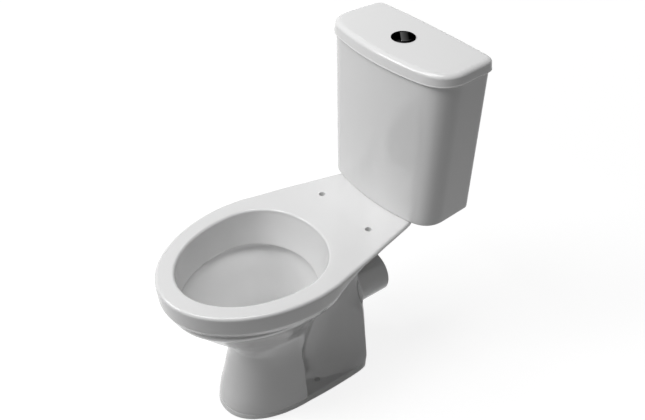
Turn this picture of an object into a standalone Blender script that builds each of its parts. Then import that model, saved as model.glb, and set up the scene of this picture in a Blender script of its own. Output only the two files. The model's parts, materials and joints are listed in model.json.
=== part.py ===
"""Close-coupled toilet: a floor-standing china pan with a horizontal outlet, a cistern with a
lift-off lid and a two-part push button, and the flush valve, fill valve and fixings inside.

The frame is metres with +Z up. X runs across the toilet, the front of the bowl points to -Y and
the origin lies on the floor, in the middle of the whole part.
"""

import math

import bmesh
import bpy
import numpy as np
from mathutils import Matrix

# Overall sizes
overall_depth = 0.670
pan_height = 0.400
clearance = 0.0003
merge_distance = 0.00001
cut_overrun = 0.010

# Pan: the flat rim and the deck behind it
pan_half_width = 0.1765
deck_end_setback = 0.021
rim_widest_share = 0.384
rim_side_shares = (
    (0.445, 0.956), (0.500, 0.856), (0.565, 0.742), (0.625, 0.632), (0.690, 0.496),
    (0.757, 0.366), (0.820, 0.228), (0.845, 0.115), (0.870, 0.022), (0.900, 0.0),
)
deck_end_corner = 0.014
rim_edge_radius = 0.006
rim_side_depth = 0.040
rim_roll_depth = 0.050
rim_depth = 0.057
rim_side_inset = 0.002
rim_roll_inset = 0.006
rim_crease_inset = 0.009
deck_side_depth = 0.0065
deck_roll_depth = 0.010
deck_depth = 0.020
deck_side_inset = 0.0008
deck_roll_inset = 0.007
deck_under_inset = 0.024
deck_end_under_inset = 0.006
deck_thins_from_share = 0.37
deck_thins_to_share = 0.60
deck_end_from_share = 0.83

# Pan: the bowl's mouth, the inner wall and its lip
rim_side_width = 0.0405
mouth_front = 0.040
mouth_widest_share = 0.3555
mouth_rear_share = 0.5539
mouth_edge_radius = 0.005
wall_depth = 0.082
lip_side_draw = 0.0085
lip_front_draw = 0.0035
lip_widest_draw = 0.012
lip_rear_draw = 0.022

# Pan: the outside below the rim. Each level is a share of the pan's height above the floor, then
# the nose's front, the widest place and the half width there, and the half width at each station
# along the leg, as shares of the deck's length and of the pan's half width.
leg_station_shares = (0.425, 0.460, 0.500, 0.550, 0.595, 0.640, 0.676, 0.692)
leg_end_share = 0.698
nose_power = 2.15
outside_level_shares = (
    (0.0000, 0.172, 0.42, 0.540, (0.540, 0.545, 0.550, 0.553, 0.553, 0.545, 0.517, 0.416)),
    (0.0125, 0.165, 0.42, 0.560, (0.562, 0.568, 0.574, 0.576, 0.574, 0.568, 0.542, 0.442)),
    (0.0480, 0.170, 0.41, 0.548, (0.550, 0.556, 0.560, 0.562, 0.560, 0.556, 0.545, 0.445)),
    (0.0520, 0.169, 0.41, 0.549, (0.343, 0.309, 0.394, 0.455, 0.512, 0.550, 0.548, 0.448)),
    (0.1000, 0.175, 0.41, 0.550, (0.326, 0.280, 0.326, 0.395, 0.478, 0.541, 0.554, 0.456)),
    (0.1750, 0.191, 0.407, 0.536, (0.314, 0.269, 0.280, 0.325, 0.410, 0.491, 0.534, 0.448)),
    (0.2650, 0.207, 0.407, 0.518, (0.345, 0.268, 0.266, 0.290, 0.355, 0.446, 0.505, 0.432)),
    (0.3500, 0.219, 0.404, 0.490, (0.400, 0.278, 0.266, 0.277, 0.325, 0.408, 0.476, 0.413)),
    (0.4250, 0.221, 0.397, 0.479, (0.440, 0.310, 0.270, 0.272, 0.303, 0.378, 0.438, 0.382)),
    (0.5000, 0.198, 0.388, 0.491, (0.465, 0.365, 0.292, 0.274, 0.292, 0.342, 0.350, 0.305)),
    (0.5870, 0.149, 0.376, 0.549, (0.515, 0.445, 0.345, 0.291, 0.286, 0.302, 0.295, 0.262)),
    (0.6750, 0.101, 0.370, 0.651, (0.606, 0.537, 0.440, 0.349, 0.295, 0.288, 0.276, 0.248)),
    (0.7750, 0.052, 0.370, 0.800, (0.766, 0.709, 0.617, 0.469, 0.345, 0.300, 0.278, 0.250)),
    (0.8575, 0.016, 0.376, 0.940, (0.915, 0.880, 0.806, 0.634, 0.463, 0.338, 0.308, 0.270)),
    (0.9650, 0.033, 0.376, 0.886, (0.857, 0.823, 0.749, 0.577, 0.411, 0.300, 0.265, 0.200)),
)

# Pan: the bowl below the lip. Each level is a share of the pan's height, then the front, the
# widest place and the rear as shares of the deck's length, and the half width as a share.
bowl_level_shares = (
    (0.7955, 0.0570, 0.360, 0.538, 0.790),
    (0.7700, 0.0745, 0.360, 0.532, 0.750),
    (0.7250, 0.0950, 0.362, 0.526, 0.655),
    (0.6750, 0.1200, 0.363, 0.520, 0.570),
    (0.5870, 0.1680, 0.370, 0.510, 0.470),
    (0.5000, 0.2170, 0.376, 0.497, 0.388),
    (0.4125, 0.2590, 0.382, 0.491, 0.328),
    (0.3250, 0.3010, 0.391, 0.485, 0.272),
    (0.2500, 0.3410, 0.404, 0.482, 0.235),
    (0.1875, 0.3760, 0.419, 0.479, 0.190),
    (0.1500, 0.4000, 0.432, 0.473, 0.120),
)

# Pan: the flushing channel inside the rim, how far below the rim it lies, and how far each of
# its corners lies outside the bowl's mouth, or outside the lip
channel_top_drop = 0.018
channel_low_drop = 0.062
channel_top_outer = 0.0250
channel_low_outer = 0.0159
channel_top_inner = 0.0084
channel_lip_wall = 0.0065
rim_outlet_count = 20
rim_outlet_radius = 0.003
rim_outlet_outset = 0.007

# Pan: trapway, outlet spigot and the duct under the deck. The trapway's route is given as shares
# of the deck's length and of the outlet's height.
trap_radius = 0.036
trap_route_shares = (
    (0.441, 0.486), (0.468, 0.314), (0.512, 0.281), (0.556, 0.432),
    (0.591, 0.681), (0.627, 0.897), (0.680, 1.0),
)
outlet_height = 0.185
outlet_reach = 0.0888
outlet_root_depth = 0.047
outlet_radius = 0.051
outlet_wall = 0.0075
outlet_edge_radius = 0.0025
outlet_fillet_radius = 0.016
outlet_fillet_sink = 0.0035
duct_half_width = 0.046
duct_top = 0.012
duct_depth = 0.076
duct_behind_mouth = 0.0555
duct_end_setback = 0.010
duct_bore_radius = 0.018
duct_bore_depth = 0.042
duct_bore_behind_mouth = 0.0115
inlet_radius = 0.033

# Pan: hollow foot, fixing holes and seat-hinge holes
front_hollow_shares = (
    (-0.0200, 0.195, 0.330, 0.388, 0.440),
    (0.1375, 0.225, 0.310, 0.350, 0.380),
    (0.2500, 0.248, 0.290, 0.316, 0.320),
    (0.2700, 0.262, 0.284, 0.300, 0.240),
)
rear_hollow_shares = (
    (-0.0200, 0.590, 0.640, 0.679, 0.360),
    (0.1750, 0.632, 0.655, 0.679, 0.290),
    (0.2300, 0.645, 0.660, 0.675, 0.220),
)
fixing_hole_radius = 0.006
fixing_hole_spacing = 0.140
fixing_hole_place_share = 0.485
fixing_land_height = 0.030
hinge_spacing = 0.155
hinge_ahead_of_cistern = 0.0688
hinge_hole_radius = 0.0068

# Cistern body
cistern_height = 0.350
cistern_wall = 0.009
cistern_floor = 0.028
cistern_bottom_radius = 0.005
cistern_back_corner = 0.013
cistern_top_depth = 0.1555
cistern_top_half_width = 0.1709
cistern_back_draw = 0.0082
cistern_top_bow = 0.0276
cistern_top_corner = 0.0514
cistern_front_taper = 0.0038
cistern_side_taper = 0.0124
cistern_foot_bow = 0.0246
cistern_foot_corner = 0.0454
pocket_radius = 0.056
pocket_depth = 0.0168

# Lid
lid_side_overhang = 0.0028
lid_front_overhang = 0.0026
lid_back_overhang = 0.0068
lid_bow = 0.0282
lid_corner = 0.054
lid_back_corner = 0.022
lid_skirt_flare = 0.0014
lid_skirt_wall = 0.0032
lid_skirt_height = 0.0265
lid_bead_height = 0.0020
lid_bead = 0.0008
lid_edge_width = 0.013
lid_edge_depth = 0.009
lid_thickness = 0.0085
lid_crown = 0.0035

# Flush valve and push button, turned together about the valve's axis
valve_from_back = 0.080
button_turn = math.radians(52)
valve_tail_radius = 0.029
valve_bore_radius = 0.0245
valve_tail_below = 0.018
valve_washer_height = 0.0025
valve_flange_radius = 0.038
valve_flange_height = 0.004
valve_seat_radius = 0.0305
valve_seat_height = 0.050
back_nut_radius = 0.038
back_nut_height = 0.0142
doughnut_inner = 0.0405
doughnut_outer = 0.0530
cage_post_radius = 0.003
cage_post_place = 0.0345
cage_guide_height = 0.112
cage_guide_thickness = 0.005
cage_guide_ring = 0.006
cage_bridge_below_top = 0.074
cage_bridge_thickness = 0.007
cage_bridge_width = 0.012
cage_ear_height = 0.0115
cage_ear_width = 0.006
cage_ear_length = 0.008
tube_radius = 0.0125
tube_wall = 0.0018
tube_below_bridge = 0.014
seal_radius = 0.0285
seal_thickness = 0.003
seal_plate_radius = 0.027
seal_plate_thickness = 0.003
float_radius = 0.026
float_low = 0.130
float_height = 0.045
yoke_below_bridge = 0.032
yoke_height = 0.008
yoke_ring = 0.005
yoke_reach = 0.028
yoke_post = 0.004
yoke_width = 0.016
yoke_step = 0.0005
hook_reach = 0.010
hook_thickness = 0.003
vent_rod_low = 0.100
vent_guide_margin = 0.004
lever_above_bridge = 0.0065
lever_thickness = 0.004
lever_width = 0.005
lever_side = 0.006
lever_arm = 0.020
lever_tip = 0.003
lever_heel = 0.003
pin_radius = 0.0015
pin_play = 0.0002
rod_arm = 0.0135
rod_radius = 0.002

# Push button
bezel_radius = 0.0248
bezel_height = 0.0020
bezel_edge = 0.0008
cup_radius = 0.0212
cup_wall = 0.0014
cup_depth = 0.032
cup_floor = 0.003
bezel_nut_radius = 0.029
bezel_nut_height = 0.0085
button_gap = 0.0005
button_thickness = 0.004
button_rise = 0.0002
button_split = -0.0060
button_edge = 0.0006
spring_radius = 0.0031
spring_wire = 0.0004
spring_turns = 6
spring_points = 8

# Fill valve
fill_from_side = 0.0405
shank_radius = 0.01045
shank_bore = 0.0055
shank_below = 0.030
fill_washer_height = 0.002
fill_flange_radius = 0.016
fill_flange_height = 0.004
fill_nut_radius = 0.0165
fill_nut_height = 0.013
fill_nut_gap = 0.0045
column_radius = 0.009
head_below_top = 0.115
head_height = 0.027
head_radius = 0.015
cap_height = 0.006
cap_radius = 0.0162
spout_below_head = 0.0205
spout_height = 0.008
spout_half_width = 0.0045
drop_tube_place = 0.040
drop_tube_radius = 0.005
drop_tube_wall = 0.0012
drop_tube_low = 0.060
fill_float_radius = 0.0235
fill_float_below_spout = 0.0765
fill_float_height = 0.050
fill_float_play = 0.0006
float_rod_radius = 0.0015
float_rod_depth = 0.010
float_rod_ahead = 0.012
arm_width = 0.004
arm_thickness = 0.004
arm_pin_above_head = 0.011
arm_pivot_back = 0.019
arm_side = 0.0175
arm_end = 0.004
arm_ear_width = 0.005
arm_ear_height = 0.008

# Coupling bolts between the cistern and the deck
bolt_place = 0.068
bolt_radius = 0.004
bolt_hole_radius = 0.0050
bolt_below = 0.044
bolt_head_radius = 0.0075
bolt_head_height = 0.005
bolt_washer_inner = 0.0046
rubber_washer_radius = 0.0115
rubber_washer_height = 0.003
steel_washer_radius = 0.010
steel_washer_height = 0.0013
wing_body_radius = 0.0065
wing_body_height = 0.009
wing_reach = 0.015
wing_thickness = 0.003
wing_height = 0.013

# How finely curves are drawn
nose_points = 13
mouth_points = 12
round_segments = 24
fine_segments = 40
bolt_segments = 16
corner_points = 6

# Places worked out from the sizes above
bowl_front = -overall_depth / 2
lid_back = overall_depth - lid_skirt_flare - lid_bead
cistern_back = lid_back - lid_back_overhang
cistern_top_front = cistern_back - cistern_top_depth
cistern_foot_front = cistern_top_front + cistern_front_taper
cistern_foot_half_width = cistern_top_half_width - cistern_side_taper
lid_front = cistern_top_front - lid_front_overhang
lid_half_width_front = cistern_top_half_width + lid_side_overhang
lid_half_width_back = lid_half_width_front - cistern_back_draw
valve_from_front = cistern_back - valve_from_back
valve_y = bowl_front + valve_from_front
fill_side = fill_from_side - cistern_foot_half_width
deck_length = cistern_back - deck_end_setback
deck_end_half_width = -fill_side - fill_nut_radius - fill_nut_gap
mouth_half_width = pan_half_width - rim_side_width
mouth_widest = mouth_widest_share * deck_length
mouth_rear = mouth_rear_share * deck_length
lip_half_width = mouth_half_width - lip_side_draw
lip_front = mouth_front + lip_front_draw
lip_widest = mouth_widest - lip_widest_draw
lip_rear = mouth_rear - lip_rear_draw
leg_end = leg_end_share * deck_length
hinge_from_front = cistern_foot_front - hinge_ahead_of_cistern
cage_bridge_height = cistern_height - cage_bridge_below_top
tube_top = cage_bridge_height - tube_below_bridge
yoke_low = cage_bridge_height - yoke_below_bridge
lever_height = cage_bridge_height + cage_bridge_thickness + lever_above_bridge
head_low = cistern_height - head_below_top
arm_pin_height = head_low + arm_pin_above_head
spout_low = head_low - spout_below_head
fill_float_low = spout_low - fill_float_below_spout
lid_top = cistern_height + clearance + lid_thickness + lid_crown
flange_low = cistern_floor + valve_washer_height + 2 * clearance
flange_top = flange_low + valve_flange_height
lever_pin_height = lever_height + lever_thickness / 2
button_top = lid_top + clearance + bezel_height + button_rise
button_low = button_top - button_thickness
cup_floor_top = lid_top - cup_depth + cup_floor


def start_scene():
    """Empty the scene and make the two collections."""
    for item in list(bpy.data.objects):
        bpy.data.objects.remove(item, do_unlink=True)
    made = []
    for name in ("toilet", "cutters"):
        collection = bpy.data.collections.new(name)
        bpy.context.scene.collection.children.link(collection)
        made.append(collection)
    return made


parts, cutters = start_scene()


def make_material(name, color, roughness, metallic=0.0):
    """One Principled material for one piece."""
    material = bpy.data.materials.new(name)
    material.use_nodes = True
    shader = material.node_tree.nodes["Principled BSDF"]
    shader.inputs["Base Color"].default_value = (*color, 1.0)
    shader.inputs["Roughness"].default_value = roughness
    shader.inputs["Metallic"].default_value = metallic
    material.diffuse_color = (*color, 1.0)
    return material


def china(name):
    return make_material(name, (0.80, 0.80, 0.79), 0.12)


def chrome(name):
    return make_material(name, (0.62, 0.62, 0.63), 0.08, 1.0)


def steel(name):
    return make_material(name, (0.55, 0.55, 0.56), 0.32, 1.0)


def brass(name):
    return make_material(name, (0.62, 0.46, 0.20), 0.30, 1.0)


def rubber(name):
    return make_material(name, (0.03, 0.03, 0.03), 0.75)


def plastic(name, color=(0.72, 0.73, 0.72)):
    return make_material(name, color, 0.40)


BLUE = (0.05, 0.20, 0.48)
GREY = (0.30, 0.31, 0.32)
RED = (0.55, 0.08, 0.06)


def add_object(name, mesh, material=None, place=None):
    """Link a mesh as a part, or as a cutter when it has no material."""
    item = bpy.data.objects.new(name, mesh)
    if material is None:
        cutters.objects.link(item)
        item.hide_render = True
        item.display_type = "WIRE"
    else:
        parts.objects.link(item)
        mesh.materials.append(material)
        mesh.shade_smooth()
        mesh.set_sharp_from_angle(angle=math.radians(35))
    if place is not None:
        item.matrix_world = place
    return item


def cut(item, cutter, operation="DIFFERENCE"):
    """Put a live Boolean on a part."""
    modifier = item.modifiers.new(cutter.name, "BOOLEAN")
    modifier.operation = operation
    modifier.solver = "EXACT"
    modifier.object = cutter
    return item


def mesh_of(name, form):
    mesh = bpy.data.meshes.new(name)
    form.to_mesh(mesh)
    form.free()
    return mesh


def spot(frame, x, y):
    """A frame moved sideways within itself."""
    return frame @ Matrix.Translation((x, y, 0.0))


def cylinder(name, radius, low, high, material=None, place=None, segments=round_segments):
    """An upright cylinder, or a prism when it has few segments."""
    form = bmesh.new()
    bmesh.ops.create_cone(form, cap_ends=True, segments=segments, radius1=radius, radius2=radius,
                          depth=high - low)
    bmesh.ops.translate(form, verts=form.verts, vec=(0.0, 0.0, (low + high) / 2))
    return add_object(name, mesh_of(name, form), material, place)


def block(name, low, high, material=None, place=None):
    """A box between two corners."""
    form = bmesh.new()
    bmesh.ops.create_cube(form, size=1.0)
    low, high = np.array(low), np.array(high)
    bmesh.ops.scale(form, verts=form.verts, vec=tuple(high - low))
    bmesh.ops.translate(form, verts=form.verts, vec=tuple((low + high) / 2))
    return add_object(name, mesh_of(name, form), material, place)


def turned(name, profile, material=None, place=None, segments=round_segments):
    """A ring turned from a closed profile of (radius, height) points, given down its outer side
    and up its inner side."""
    mesh = bpy.data.meshes.new(name)
    count = len(profile)
    mesh.from_pydata([(radius, 0.0, height) for radius, height in profile],
                     [(k, (k + 1) % count) for k in range(count)], [])
    item = add_object(name, mesh, material, place)
    screw = item.modifiers.new("turn", "SCREW")
    screw.steps = segments
    screw.render_steps = segments
    screw.use_merge_vertices = True
    screw.merge_threshold = merge_distance
    return item


def washer(name, inner, outer, low, high, material=None, place=None, segments=round_segments):
    """A flat ring."""
    profile = ((outer, high), (outer, low), (inner, low), (inner, high))
    return turned(name, profile, material, place, segments)


def curve_through(points, steps):
    """Points of a smooth curve through the given ones (Catmull-Rom)."""
    points = np.array(points, dtype=float)
    ends = np.vstack((2 * points[0] - points[1], points, 2 * points[-1] - points[-2]))
    run = []
    for k in range(1, len(ends) - 2):
        before, here, there, after = ends[k - 1:k + 3]
        for step in range(steps):
            t = step / steps
            run.append(0.5 * (2 * here + (there - before) * t
                              + (2 * before - 5 * here + 4 * there - after) * t ** 2
                              + (3 * here - before - 3 * there + after) * t ** 3))
    run.append(points[-1])
    return np.array(run)


def smoothstep(value, low, high):
    t = np.clip((value - low) / (high - low), 0.0, 1.0)
    return t * t * (3 - 2 * t)


def both_sides(half):
    """Close a half outline of (x, y) points, front centre to back centre, with its mirror."""
    left = half[1:-1][::-1] * (-1.0, 1.0)
    return np.vstack((half, left))


def egg_half(front, widest, rear, half_width, power=2.0, points=mouth_points):
    """Half of an egg outline: a front half ellipse and a rear half ellipse on one width."""
    angles = np.linspace(0.0, math.pi / 2, points)
    across = np.sin(angles) ** (2 / power) * half_width
    ahead = widest - np.cos(angles) ** (2 / power) * (widest - front)
    behind = widest + np.cos(angles[::-1]) ** (2 / power) * (rear - widest)
    nose = np.column_stack((across, ahead))
    tail = np.column_stack((across[::-1], behind))
    return np.vstack((nose, tail[1:]))


def egg_ring(front, widest, rear, half_width, height, power=2.0, grow=0.0):
    """A whole egg outline at a height, in the part's frame, with y counted from the bowl's front."""
    half = egg_half(front - grow, widest, rear + grow, half_width + grow, power)
    ring = both_sides(half) + (0.0, bowl_front)
    return np.column_stack((ring, np.full(len(ring), height)))


def share_ring(level, power=2.0):
    """An egg outline from one row of shares."""
    height, front, widest, rear, half_width = level
    return egg_ring(front * deck_length, widest * deck_length, rear * deck_length,
                    half_width * pan_half_width, height * pan_height, power)


def offset_half(half, inset):
    """Move a half outline inwards by a distance that may differ from point to point."""
    ahead = np.gradient(half, axis=0)
    ahead[0] = (1.0, 0.0)
    ahead[-1] = (-1.0, 0.0)
    normal = np.column_stack((ahead[:, 1], -ahead[:, 0]))
    normal /= np.linalg.norm(normal, axis=1)[:, None]
    moved = half - normal * np.reshape(inset, (-1, 1))
    moved[[0, -1], 0] = 0.0
    return moved


def loft(name, rings, material=None, place=None, closed=False):
    """Skin rings of equal count. Each ring is symmetric about x = 0, so a cap is laid between
    its right and left points. A closed loft joins its last ring to its first instead."""
    form = bmesh.new()
    rows = [[form.verts.new(tuple(point)) for point in ring] for ring in rings]
    count = len(rows[0])
    pairs = list(zip(rows, rows[1:]))
    if closed:
        pairs.append((rows[-1], rows[0]))
    for lower, upper in pairs:
        for k in range(count):
            after = (k + 1) % count
            form.faces.new((lower[k], lower[after], upper[after], upper[k]))
    if not closed:
        last = count // 2 - 2
        for row in (rows[0], rows[-1]):
            form.faces.new((row[0], row[1], row[-1]))
            for k in range(1, last):
                form.faces.new((row[k], row[k + 1], row[-k - 1], row[-k]))
            form.faces.new(row[last:count - last + 1])
    bmesh.ops.recalc_face_normals(form, faces=form.faces)
    return add_object(name, mesh_of(name, form), material, place)


def rim_half():
    """Half outline of the rim and deck, with y counted from the bowl's front."""
    widest = rim_widest_share * deck_length
    angles = np.linspace(0.0, math.pi / 2, nose_points)
    nose = np.column_stack((np.sin(angles) * pan_half_width, widest * (1 - np.cos(angles))))
    side = [(pan_half_width, widest)]
    side += [(deck_end_half_width + share * (pan_half_width - deck_end_half_width),
              along * deck_length) for along, share in rim_side_shares]
    side += [(deck_end_half_width, deck_length - deck_end_corner)]
    side = curve_through(side, 2)
    corner = arc_corner((deck_end_half_width, deck_length - deck_end_corner),
                        (deck_end_half_width, deck_length),
                        (deck_end_half_width - deck_end_corner, deck_length))
    return np.vstack((nose, side[1:], corner[1:], [(0.0, deck_length)]))


def arc_corner(start, corner, end, points=corner_points):
    """A rounded corner between two points, drawn towards the corner point."""
    t = np.linspace(0.0, 1.0, points)[:, None]
    start, corner, end = np.array(start), np.array(corner), np.array(end)
    return start * (1 - t) ** 2 + corner * 2 * t * (1 - t) + end * t ** 2


def slab_rings():
    """Rings of the rim and deck slab, from its flat top down to its underside."""
    half = rim_half()
    along = half[:, 1] / deck_length
    thin = smoothstep(along, deck_thins_from_share, deck_thins_to_share)
    end = smoothstep(along, deck_end_from_share, 1.0)
    under = rim_crease_inset + (deck_under_inset - rim_crease_inset) * thin
    under = under + (deck_end_under_inset - deck_under_inset) * end

    def between(front_value, rear_value):
        return front_value + (rear_value - front_value) * thin

    layers = []
    for angle in np.linspace(0.0, math.pi / 2, 4):
        layers.append((np.full(len(half), rim_edge_radius * (1 - math.sin(angle))),
                       np.full(len(half), rim_edge_radius * (1 - math.cos(angle)))))
    layers.append((between(rim_side_inset, deck_side_inset), between(rim_side_depth, deck_side_depth)))
    layers.append((between(rim_roll_inset, deck_roll_inset), between(rim_roll_depth, deck_roll_depth)))
    layers.append((under, between(rim_depth, deck_depth)))
    rings = []
    for inset, drop in layers:
        moved = offset_half(half, inset) + (0.0, bowl_front)
        height = pan_height - drop
        height = np.concatenate((height, height[1:-1][::-1]))
        rings.append(np.column_stack((both_sides(moved), height)))
    return rings


def outside_ring(level):
    """One ring of the pan's outside below the rim."""
    height, front, widest, width, station_widths = level
    angles = np.linspace(0.0, math.pi / 2, nose_points)
    nose = np.column_stack((
        np.sin(angles) ** (2 / nose_power) * width * pan_half_width,
        (widest - np.cos(angles) ** (2 / nose_power) * (widest - front)) * deck_length))
    places = np.array(leg_station_shares) * deck_length
    side = curve_through(np.column_stack((np.array(station_widths) * pan_half_width, places)), 2)
    half = np.vstack((nose, side, [(0.0, leg_end)])) + (0.0, bowl_front)
    ring = both_sides(half)
    return np.column_stack((ring, np.full(len(ring), height * pan_height)))


def outlet_fillet_profile():
    """Section of the hollow fillet between the leg's back and the outlet."""
    inner = outlet_radius - outlet_wall / 2
    root = bowl_front + leg_end - outlet_fillet_sink
    profile = [(inner, root + outlet_fillet_radius)]
    for angle in np.linspace(math.pi / 2, 0.0, 5)[1:]:
        profile.append((outlet_radius + outlet_fillet_radius * (1 - math.sin(angle)),
                        root + outlet_fillet_radius * (1 - math.cos(angle))))
    profile.append((inner, root - outlet_root_depth / 2))
    return profile


def make_pan():
    """The china pan: rim and deck, bowl, pedestal, trapway, outlet and holes."""
    rings = [outside_ring(level) for level in outside_level_shares]
    pan = loft("pan", rings, china("pan_china"))
    cut(pan, loft("rim_slab", slab_rings()), "UNION")
    duct_front = bowl_front + mouth_rear + duct_behind_mouth
    duct_back = bowl_front + deck_length - duct_end_setback
    duct = block("inlet_duct", (-duct_half_width, duct_front, pan_height - duct_depth),
                 (duct_half_width, duct_back, pan_height - duct_top))
    duct_bevel = duct.modifiers.new("rounded_edges", "BEVEL")
    duct_bevel.width = duct_top
    duct_bevel.segments = 2
    cut(pan, duct, "UNION")
    spigot_y = bowl_front + leg_end - outlet_root_depth
    spigot_end = bowl_front + leg_end + outlet_reach
    lying = Matrix.Translation((0.0, 0.0, outlet_height)) @ Matrix.Rotation(-math.pi / 2, 4, "X")
    lying = lying @ Matrix.Rotation(math.pi / round_segments, 4, "Z")
    spigot = cylinder("outlet_spigot", outlet_radius, spigot_y, spigot_end, place=lying)
    bevel = spigot.modifiers.new("rounded_end", "BEVEL")
    bevel.width = outlet_edge_radius
    bevel.segments = 2
    cut(pan, spigot, "UNION")
    cut(pan, turned("outlet_fillet", outlet_fillet_profile(), place=lying), "UNION")
    cut_bowl(pan)
    cut_waterways(pan, lying)
    cut_holes(pan)
    return pan


def mouth_rings():
    """Rings of the bowl's mouth, rounded at the rim and drawn in to the lip."""
    rings = []
    top_grow = mouth_edge_radius
    sizes = (mouth_front, mouth_widest, mouth_rear, mouth_half_width)
    rings.append(egg_ring(*sizes, pan_height + cut_overrun, grow=top_grow))
    for angle in np.linspace(0.0, math.pi / 2, 4):
        rings.append(egg_ring(*sizes, pan_height - mouth_edge_radius * math.sin(angle),
                              grow=mouth_edge_radius * (1 - math.cos(math.pi / 2 - angle))))
    lip = (lip_front, lip_widest, lip_rear, lip_half_width)
    for t in (0.35, 0.7, 1.0):
        blend = [a + (b - a) * t for a, b in zip(sizes, lip)]
        drop = mouth_edge_radius + (wall_depth - mouth_edge_radius) * t
        rings.append(egg_ring(*blend, pan_height - drop))
    return rings


def cut_bowl(pan):
    """Open the mouth, the bowl and the flushing channel inside the rim."""
    cut(pan, loft("mouth_cutter", mouth_rings()))
    cut(pan, loft("bowl_cutter", [share_ring(level) for level in bowl_level_shares]))
    mouth = (mouth_front, mouth_widest, mouth_rear, mouth_half_width)
    lip = (lip_front, lip_widest, lip_rear, lip_half_width)
    top = pan_height - channel_top_drop
    low = pan_height - channel_low_drop
    channel = [egg_ring(*mouth, top, grow=channel_top_outer),
               egg_ring(*mouth, low, grow=channel_low_outer),
               egg_ring(*lip, low, grow=channel_lip_wall),
               egg_ring(*mouth, top, grow=channel_top_inner)]
    cut(pan, loft("channel_cutter", channel, closed=True))
    cut(pan, add_object("rim_outlets", rim_outlet_mesh()))


def rim_outlet_mesh():
    """The small upright holes that let water from the channel out under the lip."""
    form = bmesh.new()
    low = pan_height - wall_depth - rim_outlet_radius
    high = pan_height - channel_low_drop + rim_outlet_radius
    for step in range(rim_outlet_count):
        angle = 2 * math.pi * (step + 0.5) / rim_outlet_count
        length = lip_widest - lip_front if math.cos(angle) > 0 else lip_rear - lip_widest
        place = Matrix.Translation((
            math.sin(angle) * (lip_half_width + rim_outlet_outset),
            bowl_front + lip_widest - math.cos(angle) * (length + rim_outlet_outset),
            (low + high) / 2))
        bmesh.ops.create_cone(form, cap_ends=True, segments=6, radius1=rim_outlet_radius,
                              radius2=rim_outlet_radius, depth=high - low, matrix=place)
    return mesh_of("rim_outlets", form)


def tube_along(name, points, radius, resolution=4):
    """A round bar along points, as a mesh with welded caps."""
    curve = bpy.data.curves.new(name, "CURVE")
    curve.dimensions = "3D"
    curve.bevel_depth = radius
    curve.bevel_resolution = resolution
    curve.use_fill_caps = True
    spline = curve.splines.new("POLY")
    spline.points.add(len(points) - 1)
    for place, point in zip(spline.points, points):
        place.co = (*point, 1.0)
    holder = bpy.data.objects.new(name, curve)
    cutters.objects.link(holder)
    graph = bpy.context.evaluated_depsgraph_get()
    mesh = bpy.data.meshes.new_from_object(holder.evaluated_get(graph))
    bpy.data.objects.remove(holder, do_unlink=True)
    form = bmesh.new()
    form.from_mesh(mesh)
    bmesh.ops.remove_doubles(form, verts=form.verts, dist=radius / 1000)
    bmesh.ops.recalc_face_normals(form, faces=form.faces)
    bpy.data.meshes.remove(mesh)
    return mesh_of(name, form)


def cut_waterways(pan, lying):
    """Bore the trapway, the outlet, the inlet and the duct to the rim."""
    route = [(0.0, bowl_front + along * deck_length, share * outlet_height)
             for along, share in trap_route_shares]
    run = [tuple(point) for point in curve_through(route, 3)]
    cut(pan, add_object("trap_cutter", tube_along("trap_cutter", run, trap_radius)))
    bore = cylinder("outlet_bore", outlet_radius - outlet_wall, run[-1][1] - trap_radius,
                    bowl_front + leg_end + outlet_reach + cut_overrun, place=lying)
    cut(pan, bore)
    inlet = cylinder("inlet_bore", inlet_radius, pan_height - duct_bore_depth - duct_bore_radius,
                     pan_height + cut_overrun, place=Matrix.Translation((0.0, valve_y, 0.0)))
    cut(pan, inlet)
    level = pan_height - duct_bore_depth
    passage = [(0.0, bowl_front + mouth_rear + duct_bore_behind_mouth, level),
               (0.0, valve_y, level)]
    cut(pan, add_object("duct_cutter", tube_along("duct_cutter", passage, duct_bore_radius)))


def cut_holes(pan):
    """Hollow the foot and make the fixing, seat-hinge and coupling-bolt holes."""
    for name, table in (("front_hollow", front_hollow_shares), ("rear_hollow", rear_hollow_shares)):
        cut(pan, loft(name, [share_ring(level) for level in table]))
    deck_low = pan_height - deck_depth - cut_overrun
    deck_high = pan_height + cut_overrun
    for side in (-1, 1):
        for name, radius, spacing, along, low, high in (
                ("fixing_hole", fixing_hole_radius, fixing_hole_spacing / 2,
                 fixing_hole_place_share * deck_length, -cut_overrun, fixing_land_height),
                ("hinge_hole", hinge_hole_radius, hinge_spacing / 2, hinge_from_front,
                 deck_low, deck_high),
                ("deck_bolt_hole", bolt_hole_radius, bolt_place, valve_from_front,
                 deck_low, deck_high)):
            place = Matrix.Translation((side * spacing, bowl_front + along, 0.0))
            cut(pan, cylinder(name, radius, low, high, place=place, segments=20))


def tank_half(front, bow, back, half_front, half_back, corner, back_corner):
    """Half of the cistern's D-shaped outline: bowed front, rounded front corner, side and back."""
    def front_line(x):
        return front + bow * (x / half_front) ** 2

    across = np.linspace(0.0, half_front - corner, corner_points + 2)
    bowed = np.column_stack((across, front_line(across)))
    corner_y = front + bow
    side_length = back - corner_y
    slope = (half_back - half_front) / side_length
    start_side = (half_front + slope * corner, corner_y + corner)
    rounded = arc_corner(bowed[-1], (half_front, corner_y), start_side, corner_points + 2)
    side_end = (half_back - slope * back_corner, back - back_corner)
    turned_back = arc_corner(side_end, (half_back, back), (half_back - back_corner, back), 4)
    halfway = (np.array(start_side) + np.array(side_end)) / 2
    return np.vstack((bowed, rounded[1:], [halfway], turned_back, [(0.0, back)]))


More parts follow.
